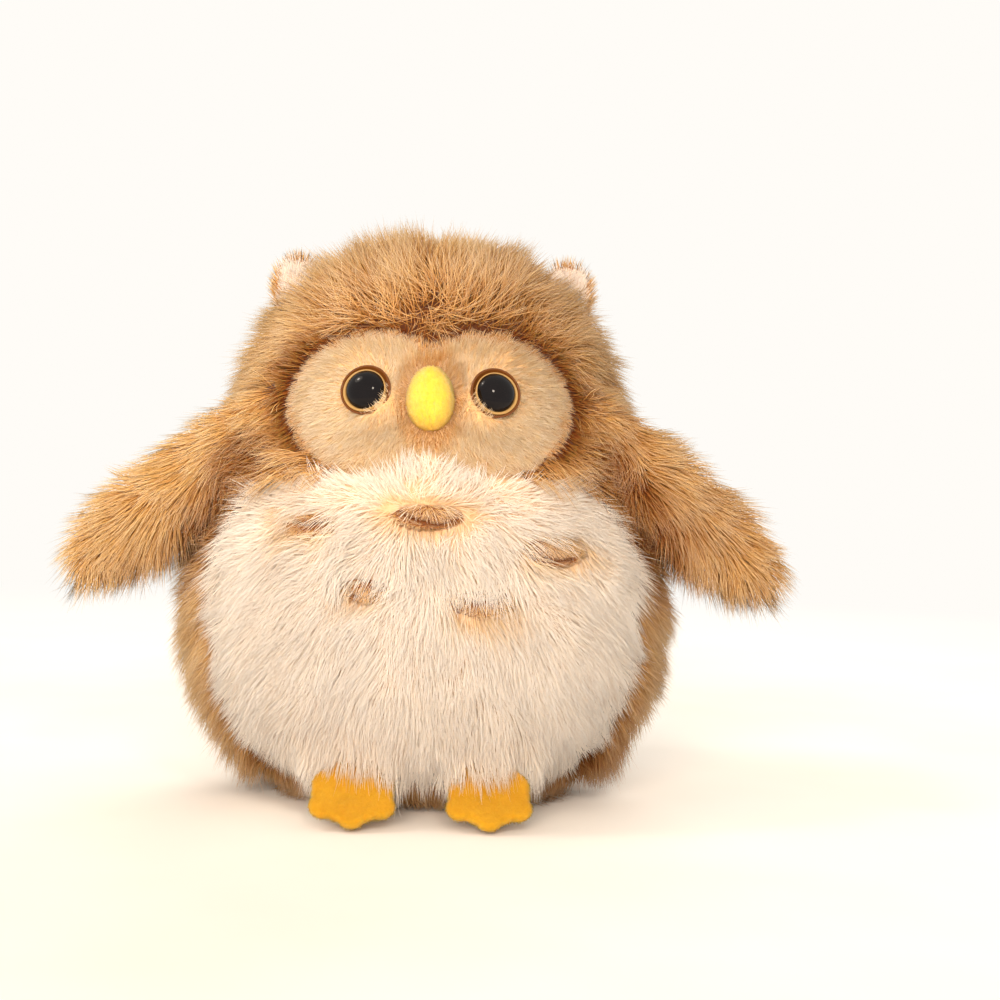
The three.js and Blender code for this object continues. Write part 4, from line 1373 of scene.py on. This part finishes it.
def cheek_cloth(side):
    """A crescent round the inner lower part of an eye, highest in its middle and at its lip."""
    pupil, lip = EYES[side][0], CHEEK_LIP[side]
    over = np.linspace(CHEEK_END, lip - ROUND_OVER * CHEEK_ROUND, CHEEK_OVER)
    under = np.linspace(lip - ROUND_BELOW * CHEEK_ROUND, CHEEK_END - CHEEK_HEM, CHEEK_BELOW)
    reach = np.concatenate([over, under])
    rounding = np.sqrt(np.maximum(1 - ((lip - reach) / CHEEK_ROUND) ** 2, 0))
    rise = np.where(reach > lip, smooth(CHEEK_END, lip, reach), rounding)
    middle = math.atan2(-1, -SIDES[side])
    rings = []
    for turn in np.linspace(-1, 1, CHEEK_TURNS):
        angle = middle + turn * CHEEK_TURN
        x = pupil.x + reach * math.cos(angle)
        z = pupil.z + reach * math.sin(angle)
        height = math.cos(turn * math.pi / 2) ** CHEEK_POINTEDNESS * CHEEK_HEIGHT
        level = np.where(np.arange(len(reach)) < CHEEK_OVER, height * rise - CHEEK_SINK, -CHEEK_UNDER)
        rings.append(front_of_body(x, z, FACE_CLOTH - FACE_PADDING) - np.outer(level, (0, 1, 0)))
    return lofted(rings)


def cheek_pieces(side):
    cloth = cheek_cloth(side)
    pad = shown(f"cheek_{side}", cloth.mesh("cheek"), FACE_BACKING)
    dress(pad, "body", ())
    lay = face_lay(cloth)
    way, gap = from_eye(cloth.points, side)
    inwards = smooth(*CHEEK_INWARDS, gap - CHEEK_LIP[side])
    turning = laid(cloth, -way, CHEEK_LIP_LAY)
    for key in ("root_way", "tip_way"):
        lay[key] = unit(lay[key] * (1 - inwards[:, None]) + turning[key] * inwards[:, None])
    lay["pile_length"] = lay["pile_length"] * (1 - inwards) + turning["pile_length"] * inwards
    lay["fullness"] = smooth(*CHEEK_FACING, -cloth.outs[:, 1]) * (gap > CHEEK_LIP[side] - CHEEK_ROUND)
    hair = pile(f"cheek_{side}_plush", cloth, lay, SHORT_PLUSH, FACE_PLUSH, 63 + SIDES[side])
    dress(hair, "body")


# Spots in the belly's pile

SPOT_TOP = 2.4 * MM  # the spot's cloth, under the long pile's tips
SPOT_STEPS = 96
SPOT_EDGE_SHARES = [(0.9, 1), (1.02, 0.75), (1.05, 0.45), (0.98, 0.15)]  # of its half size, and of its sink
SPOT_FACE_SHARES = [(share, 0.02) for share in np.linspace(0.9, 0.06, 15)]
GROOVE = (0.9 * MM, 0.2 * MM)
GROOVE_SINK = 0.8
SPOT_SPREAD = (1, 0, 0.4)
SPOT_DROOP = 2 * MM
# Painted shade along the creases, where the plush is darkened
CREASE_SHADE, CREASE_SHADE_EDGE = 0.7, (1.1 * MM, 0.4 * MM)
CREASE_SOFT_SHADE, CREASE_SOFT_SHADE_EDGE = 0.3, (2.4 * MM, 1 * MM)
CREASE_OPEN = (0.25 * MM, 0.5 * MM)
SPOT_LAY = {
    "root rise": 40,
    "tip rise": 12,
    "height": 0.7 * MM,
    "height share": {"base": 1, "dark": -0.5},
    "fullness": {"base": 0, "open": 1},
    "shade": {"base": 0.15, "dark": 1},
}


def from_creases(name, points):
    """How far points of the front are from the creases of a spot."""
    return np.minimum.reduce([from_line(points, np.array(line) * MM) for line in SPOT_CREASES[name]])


def under_crease(points):
    """How far points of the front are under the first crease of the nearest spot."""
    lines = [np.transpose(SPOT_CREASES[name][0]) * MM for name in SPOTS]
    heights = np.array([np.interp(points[:, 0], *line) for line in lines])
    return heights[in_spots(points).argmin(0), np.arange(len(points))] - points[:, 2]


def spot_pieces(name, seed):
    """A spot is a low pad of short plush, with a groove along each crease that is painted in shade."""
    middle, half = SPOT_BOXES[name]
    turns = np.linspace(0, math.tau, SPOT_STEPS, endpoint=False)
    rings = []
    for share, sink in SPOT_EDGE_SHARES + SPOT_FACE_SHARES:
        x = middle[0] + half[0] * share * np.cos(turns)
        z = middle[2] + half[2] * share * np.sin(turns)
        groove = GROOVE_SINK * smooth(*GROOVE, from_creases(name, np.stack([x, 0 * x, z], 1)))
        rings.append(front_of_body(x, z, SPOT_TOP + (PILE_INSET - SPOT_TOP) * np.maximum(sink, groove)))
    cloth = lofted(rings)
    pad = shown(f"{name}_pad", cloth.mesh(name), SPOT_BACKING)
    dress(pad, "body", [name])
    crease = from_creases(name, cloth.points)
    dark = CREASE_SHADE * smooth(*CREASE_SHADE_EDGE, crease) + CREASE_SOFT_SHADE * smooth(*CREASE_SOFT_SHADE_EDGE, crease)
    places = {"dark": dark, "open": smooth(*CREASE_OPEN, crease)}
    flow = (cloth.points - middle) * SPOT_SPREAD + DOWN * SPOT_DROOP
    lay = laid(cloth, flow, SPOT_LAY, places)
    dress(pile(f"{name}_plush", cloth, lay, SPOT_PILE, SPOT_PLUSH, seed), "body")


# Beak

BEAK_FULL = 0.08  # how much wider the beak is in its lower half
BEAK_DEPTH = 6.6 * MM  # half of it
BEAK_RISES = np.radians(np.linspace(-85, 85, 41))
BEAK_STEPS = 64
BEAK_CREASE = 0.35 * MM
BEAK_CREASE_WIDTH = 0.5 * MM
BEAK_CREASE_RISE = (0.1, -0.5)
# Painted shade: the beak's fuzz is darker on its lower half, which the light reaches less
BEAK_LAY = {"root rise": 30, "tip rise": 10, "height": 0.25 * MM, "shade": {"base": 0.35, "low": 0.3}}


def beak_pieces():
    """A padded egg with a shallow crease down the lower half of its front."""
    half = (BEAK_HIGH - BEAK_LOW) / 2
    centre = np.array([BEAK_MIDDLE[0], BEAK_LOW[1] + BEAK_DEPTH, BEAK_MIDDLE[2]])
    turns = np.linspace(0, math.tau, BEAK_STEPS, endpoint=False)
    rings = []
    for rise in BEAK_RISES:
        size = math.cos(rise) * (1 - BEAK_FULL * math.sin(rise))
        x = half[0] * size * np.sin(turns)
        y = -BEAK_DEPTH * size * np.cos(turns)
        crease = np.exp(-((x / BEAK_CREASE_WIDTH) ** 2)) * smooth(*BEAK_CREASE_RISE, math.sin(rise))
        y = y + BEAK_CREASE * crease * (np.cos(turns) > 0)
        rings.append(np.stack([x, y, 0 * x + half[2] * math.sin(rise)], 1) + centre)
    cloth = lofted(rings)
    dress(shown("beak", cloth.mesh("beak"), BEAK_CLOTH), "body", ["beak_cover"])
    places = {"low": smooth(0, -half[2], cloth.points[:, 2] - BEAK_MIDDLE[2])}
    lay = laid(cloth, np.broadcast_to(DOWN, cloth.points.shape), BEAK_LAY, places)
    dress(pile("beak_fuzz", cloth, lay, FUZZ, BEAK_FUZZ, 71), "body")


# Safety eyes. Heights are measured along the axis from the floor of the rim's back

EYE_RADIUS = 6 * MM
EYE_STEPS = 72
SHANK_RADIUS = 1.6 * MM
SHANK_LENGTH = 7.4 * MM
RIM_LIP = 0.3 * MM
RIM_HEIGHT = 1.7 * MM
RIM_FLOOR = 1.2 * MM
RING_LIP = 0.34 * MM
RING_RADIUS = EYE_RADIUS - 1.22 * MM
RING_INSIDE = EYE_RADIUS - 1.7 * MM
RING_OUTSIDE = EYE_RADIUS - 0.95 * MM
RING_HEIGHT = 1.75 * MM
RING_ASIDE = {side: Vector((0.224 * way, 0, -0.168)) * MM for side, way in SIDES.items()}  # and downwards
BEAD_RADIUS = EYE_RADIUS - 1.36 * MM
BEAD_EDGE = 0.25 * MM
BEAD_FOOT = 1.3 * MM
BEAD_RISE = 1.55 * MM
BEAD_DOME = 2.9 * MM
BEAD_ANGLES = np.radians(np.linspace(0, 87, 22))
RIM_PROFILE = [
    (SHANK_RADIUS, -SHANK_LENGTH),
    (SHANK_RADIUS, 0),
    (EYE_RADIUS - RIM_LIP, 0),
    *arc(EYE_RADIUS - RIM_LIP, RIM_HEIGHT, RIM_LIP, -30, 150, 12),
    (EYE_RADIUS - 0.7 * MM, RIM_FLOOR + 0.2 * MM),
    (0.5 * MM, RIM_FLOOR),
]
RING_PROFILE = [
    (RING_INSIDE, RIM_FLOOR + 0.05 * MM),
    (RING_OUTSIDE, RIM_FLOOR + 0.1 * MM),
    *arc(RING_RADIUS, RING_HEIGHT, RING_LIP, -20, 150, 10),
    (RING_INSIDE, RIM_FLOOR + 0.3 * MM),
]
BEAD_PROFILE = [(0.2 * MM, BEAD_FOOT), (BEAD_RADIUS - BEAD_EDGE, BEAD_FOOT)] + [
    (BEAD_RADIUS * math.cos(a), BEAD_RISE + BEAD_DOME * math.sin(a)) for a in BEAD_ANGLES
]


def turned(name, place, out, profile, material):
    """A lathed piece, through a profile of radius and height along the way out, from back to front."""
    turn = out.to_track_quat("Z", "Y").to_matrix()
    angles = np.linspace(0, math.tau, EYE_STEPS, endpoint=False)
    rings = []
    for radius, height in profile:
        ring = np.stack([radius * np.cos(angles), radius * np.sin(angles), 0 * angles + height], 1)
        rings.append(ring @ np.array(turn).T + np.array(place))
    return shown(name, lofted(rings).mesh(name), material)


def eye_pieces():
    for side, (_, out) in EYES.items():
        back = rim_back(side)
        rim = turned(f"eye_{side}_rim_moulded", back, out, RIM_PROFILE, AMBER_PLASTIC)
        dress(rim, "body", [f"eye_{side}_rim"])
        ring = turned(f"eye_{side}_inner_ring", back + RING_ASIDE[side], out, RING_PROFILE, GOLD_RING)
        dress(ring, "body")
        bead = turned(f"eye_{side}_bead", back, out, BEAD_PROFILE, BLACK_PLASTIC)
        dress(bead, "body", [f"eye_{side}_pupil"])


def rim_back(side):
    """The middle of the back of an eye's rim, where it seats on the face."""
    pupil, out = EYES[side]
    edge = out.orthogonal().normalized() * (EYE_RADIUS - 1 * MM)
    hit = tree_of(f"eye_{side}_rim").ray_cast(pupil + edge - out * 20 * MM, out)[0]
    return hit - edge


# Wings

WING_LENGTH = 61 * MM
WING_WIDTH = 23 * MM
WING_THICKNESS = 15 * MM
WING_ROOT = 7 * MM
WING_HANG = math.radians(38)
WING_DROP = 0.3 * WING_WIDTH
WING_INSET = 4.4 * MM
WING_MESH = (60, 48)  # steps along it and round it
WING_ROUNDING = 0.6
WING_BEND = (-4 * MM, 9 * MM)
WING_UNDERSIDE_SHADE = (0.3, -1)  # in half widths from its middle line, where the lower side is darkened as painted shade
WING_LOW = (0.2, -1)
WING_NEAR = (-4 * MM, 10 * MM)  # along it, from the hinge
WING_TIP = (38 * MM, 58 * MM)
WING_FAR = (20 * MM, 50 * MM)
WING_OPEN = (-7 * MM, -3 * MM)
WING_DROOP = {"base": 0.15, "height": -0.4, "low": 0.7, "far": 0.2}
# Painted shade: the pile is darkened on the wing's lower side and in the fold by the body
WING_LAY = {
    "root rise": 46,
    "tip rise": {"base": 18, "tip": -4},
    "height": WING_INSET + 1.2 * MM,
    "height share": {"base": 1, "tip": -0.15, "low edge": 0.15, "fold": -0.25, "times": {"root": -0.4}},
    "fullness": {"base": 0, "open": 1.6},
    "shade": {"base": 0.2, "under": 0.35, "fold": 0.8, "left": 0.12},
    "unrest": {"base": 1.1, "fold": 1.2},
}


def wing_ways(name, side):
    """A wing's hinge, and the ways along the wing, up its width and back through its thickness."""
    joint = JOINTS[f"wing_{name}"]
    back = Vector(joint["axis"]) * -side
    level = back.cross(UP).normalized() * side
    along = level * math.cos(WING_HANG) - UP * math.sin(WING_HANG)
    across = UP * math.cos(WING_HANG) + level * math.sin(WING_HANG)
    return Vector(joint["pos_m"]), along, across, back


FLAP_NECK = 0.92  # of its width, at its sewn end
FLAP_FULL = 0.45  # of its length, where it is widest
FLAP_END_POWER = 2.4
FLAP_THINNING = 0.7


def flap_cloth(place, size, drop, counts, rounding):
    """A flap through ovals along its length, whose end is rounded. place is its hinge and the ways along it,
    across it and back, and size its length, the length of its root, its width and its thickness."""
    point, along, across, back = place
    length, root, width, thickness = size
    steps, around = counts
    turns = np.linspace(0, math.tau, around, endpoint=False)
    rings = []
    for share in np.sin(np.linspace(0, math.pi / 2, steps + 1))[:-1]:
        end = max(0, (share - rounding) / (1 - rounding))
        full = FLAP_NECK + (1 - FLAP_NECK) * smooth(0, FLAP_FULL, share)
        full *= math.sqrt(max(1 - end**FLAP_END_POWER, 1e-4))
        middle = np.array(point + along * (share * (root + length) - root) - across * drop)
        oval = np.outer(np.sin(turns), across) * width / 2 * full
        oval += np.outer(np.cos(turns), back) * thickness / 2 * full**FLAP_THINNING
        rings.append(middle + oval)
    return lofted(rings)


def wing_lay(cloth, point, along, across):
    """The wing's pile lies along it and droops, more so along its lower edge."""
    from_hinge = cloth.points - np.array(point)
    reach = from_hinge @ np.array(along)
    height = (from_hinge @ np.array(across) + WING_DROP) / (WING_WIDTH / 2 - WING_INSET)
    low = smooth(*WING_LOW, height)
    tip = smooth(*WING_TIP, reach)
    places = {
        "height": height,
        "low": low,
        "far": smooth(*WING_FAR, reach),
        "tip": tip,
        "low edge": low * (1 - tip),
        "root": 1 - smooth(*WING_NEAR, reach),
        "open": smooth(*WING_OPEN, reach),
        "under": smooth(*WING_UNDERSIDE_SHADE, height),
        "fold": in_shaded_fold(cloth.points),
        # Painted shade on the left wing and painted light on the right one
        "left": np.sign(point[0]),
    }
    flow = np.array(along) - np.outer(amount(WING_DROOP, places), across)
    return laid(cloth, flow, WING_LAY, places)


def wing_pieces():
    """Both pieces of a wing bend with the hinge near it."""
    for name, side in SIDES.items():
        place = wing_ways(name, side)
        point, along, across, _ = place
        width, thickness = WING_WIDTH - 2 * WING_INSET, WING_THICKNESS - 2 * WING_INSET
        size = (WING_LENGTH - WING_INSET, WING_ROOT, width, thickness)
        cloth = flap_cloth(place, size, WING_DROP, WING_MESH, WING_ROUNDING)
        cover = shown(f"wing_{name}_cover", cloth.mesh("wing"), BROWN_BACKING)
        lay = wing_lay(cloth, point, along, across)
        hair = pile(f"wing_{name}_pile", cloth, lay, LONG_PILE, BROWN_PILE, 80 + side)
        start, end = (point + along * reach for reach in WING_BEND)
        for piece in (cover, hair):
            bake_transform(piece, "body", f"wing_{name}", start=start, end=end)
        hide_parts(f"wing_{name}_front", f"wing_{name}_back")


# Ears

EAR_LENGTH = 11 * MM
EAR_WIDTH = 16 * MM
EAR_THICKNESS = 6.5 * MM
EAR_ROOT = 4 * MM
EAR_INSET = 2.3 * MM
EAR_TIP_PILE = 2.8 * MM
EAR_MESH = (30, 40)
EAR_ROUNDING = 0.35
EAR_SPREAD = 8 * MM
LINING_FACING = (0.2, 0.5)
LINING_SIDE = (0.85, 0.65)
LINING_END = (7.6 * MM, 6.2 * MM)
EAR_LINING_LAY = {
    "root rise": 42,
    "tip rise": 16,
    "height": 1.3 * MM,
    "fullness": {"base": 0, "lining": 1},
    "shade": 0.35,
}
EAR_HAIR_LAY = {
    "root rise": 52,
    "tip rise": 24,
    "height": 2.1 * MM,
    "fullness": {"base": 0.8, "lining": -0.8},
    "shade": 0.18,
}


def ear_pieces():
    """An ear has a padded cover, short plush in front and brown hair round its edge and behind."""
    along, across, back = UP, Vector((1, 0, 0)), Vector((0, 1, 0))
    size = (EAR_LENGTH - EAR_TIP_PILE, EAR_ROOT, EAR_WIDTH - 2 * EAR_INSET, EAR_THICKNESS - 2 * EAR_INSET)
    for name, side in SIDES.items():
        point = Vector(JOINTS[f"ear_{name}"]["pos_m"])
        cloth = flap_cloth((point, along, across, back), size, 0, EAR_MESH, EAR_ROUNDING)
        from_hinge = cloth.points - np.array(point)
        aside = from_hinge @ np.array(across)
        lining = smooth(*LINING_FACING, cloth.outs @ -np.array(back))
        lining = lining * smooth(*LINING_SIDE, np.abs(aside) / (EAR_WIDTH / 2 - EAR_INSET))
        lining = lining * smooth(*LINING_END, from_hinge @ np.array(along))
        body = f"ear_{name}"
        cover = shown(f"{body}_cover", cloth.mesh("ear"), EAR_BACKING)
        dress(cover, body, [f"{body}_inner", f"{body}_outer"])
        flow = np.array(along) + np.outer(aside, across) / EAR_SPREAD
        lay = laid(cloth, flow, EAR_LINING_LAY, {"lining": lining})
        dress(pile(f"{body}_lining", cloth, lay, SHORT_PLUSH, EAR_PLUSH, 90 + side), body)
        lay = laid(cloth, flow, EAR_HAIR_LAY, {"lining": lining})
        dress(pile(f"{body}_pile", cloth, lay, SHORT_PLUSH, BROWN_PILE, 94 + side), body)


# Feet

FOOT_LENGTH = 17 * MM
FOOT_WIDTH = 19.5 * MM
FOOT_FELT = 2.4 * MM
FOOT_SLOPE = math.radians(40)
TOE = FOOT_WIDTH / 6
SIDE_TOE_BACK = 2.8 * MM
FOOT_CENTRE = np.array([0, 7]) * MM
FOOT_SIDE_DISCS = [  # place across and along, and radius
    (2 * TOE, FOOT_LENGTH - TOE - SIDE_TOE_BACK, TOE),
    (4.2 * MM, 5 * MM, 5.1 * MM),
    (4 * MM, 7.5 * MM, 5.3 * MM),
]
FOOT_DISCS = [
    (0, FOOT_LENGTH - TOE, TOE),
    (0, 6.5 * MM, 9.2 * MM),
    *[(side * across, along, radius) for across, along, radius in FOOT_SIDE_DISCS for side in (-1, 1)],
]
FOOT_STEPS = 120
FOOT_EDGE_SHARES = [(0.25, -0.92), (0.6, -1), (0.85, -1), (0.93, -0.94), (0.98, -0.62), (1, -0.2)]
FOOT_LAY = {"root rise": 35, "tip rise": 12, "height": 0.3 * MM, "shade": 0.45}


def foot_edge(ways):
    """Distances from the middle of the sole to its edge, round three toes and the sewn end."""
    reach = np.zeros(len(ways))
    for across, along, radius in FOOT_DISCS:
        to_disc = np.array([across, along]) - FOOT_CENTRE
        near = ways @ to_disc
        under = near**2 - to_disc @ to_disc + radius**2
        reach = np.maximum(reach, np.where(under > 0, near + np.sqrt(np.maximum(under, 0)), 0))
    return reach


def foot_pieces():
    """A foot is one thick piece of felt, rounded at its edge."""
    turns = np.linspace(0, math.tau, FOOT_STEPS, endpoint=False)
    ways = np.stack([np.sin(turns), np.cos(turns)], 1)
    edge = foot_edge(ways)[:, None]
    levels = FOOT_EDGE_SHARES + [(share, -height) for share, height in reversed(FOOT_EDGE_SHARES)]
    across = Vector((1, 0, 0))
    along = Vector((0, -math.cos(FOOT_SLOPE), -math.sin(FOOT_SLOPE)))
    upwards = np.array(across.cross(along)) * FOOT_FELT / 2
    for name, side in SIDES.items():
        body = f"foot_{name}"
        hinge = np.array(JOINTS[body]["pos_m"])
        rings = []
        for share, height in levels:
            flat = FOOT_CENTRE + ways * edge * share
            rings.append(hinge + flat @ np.array([across, along]) + upwards * height)
        cloth = lofted(rings)
        felt = shown(f"{body}_felt", cloth.mesh("foot"), YELLOW_FELT)
        dress(felt, body, [body])
        lay = laid(cloth, np.broadcast_to(np.array(along), cloth.points.shape), FOOT_LAY)
        dress(pile(f"{body}_fuzz", cloth, lay, FUZZ, FELT_FUZZ, 97 + side), body)


# What the covers hide

HIDDEN_FINISHES = {"_stuffing": FIBRE_FILL, "_washer": WASHER_PLASTIC}


def inner_pieces():
    for name, node in frame["nodes"].items():
        for ending, material in HIDDEN_FINISHES.items():
            if name.endswith(ending):
                node.data.materials.clear()
                node.data.materials.append(material)


body_pieces()
face_pieces()
for number, spot_name in enumerate(SPOTS):
    spot_pieces(spot_name, 50 + number)
beak_pieces()
eye_pieces()
wing_pieces()
ear_pieces()
foot_pieces()
inner_pieces()
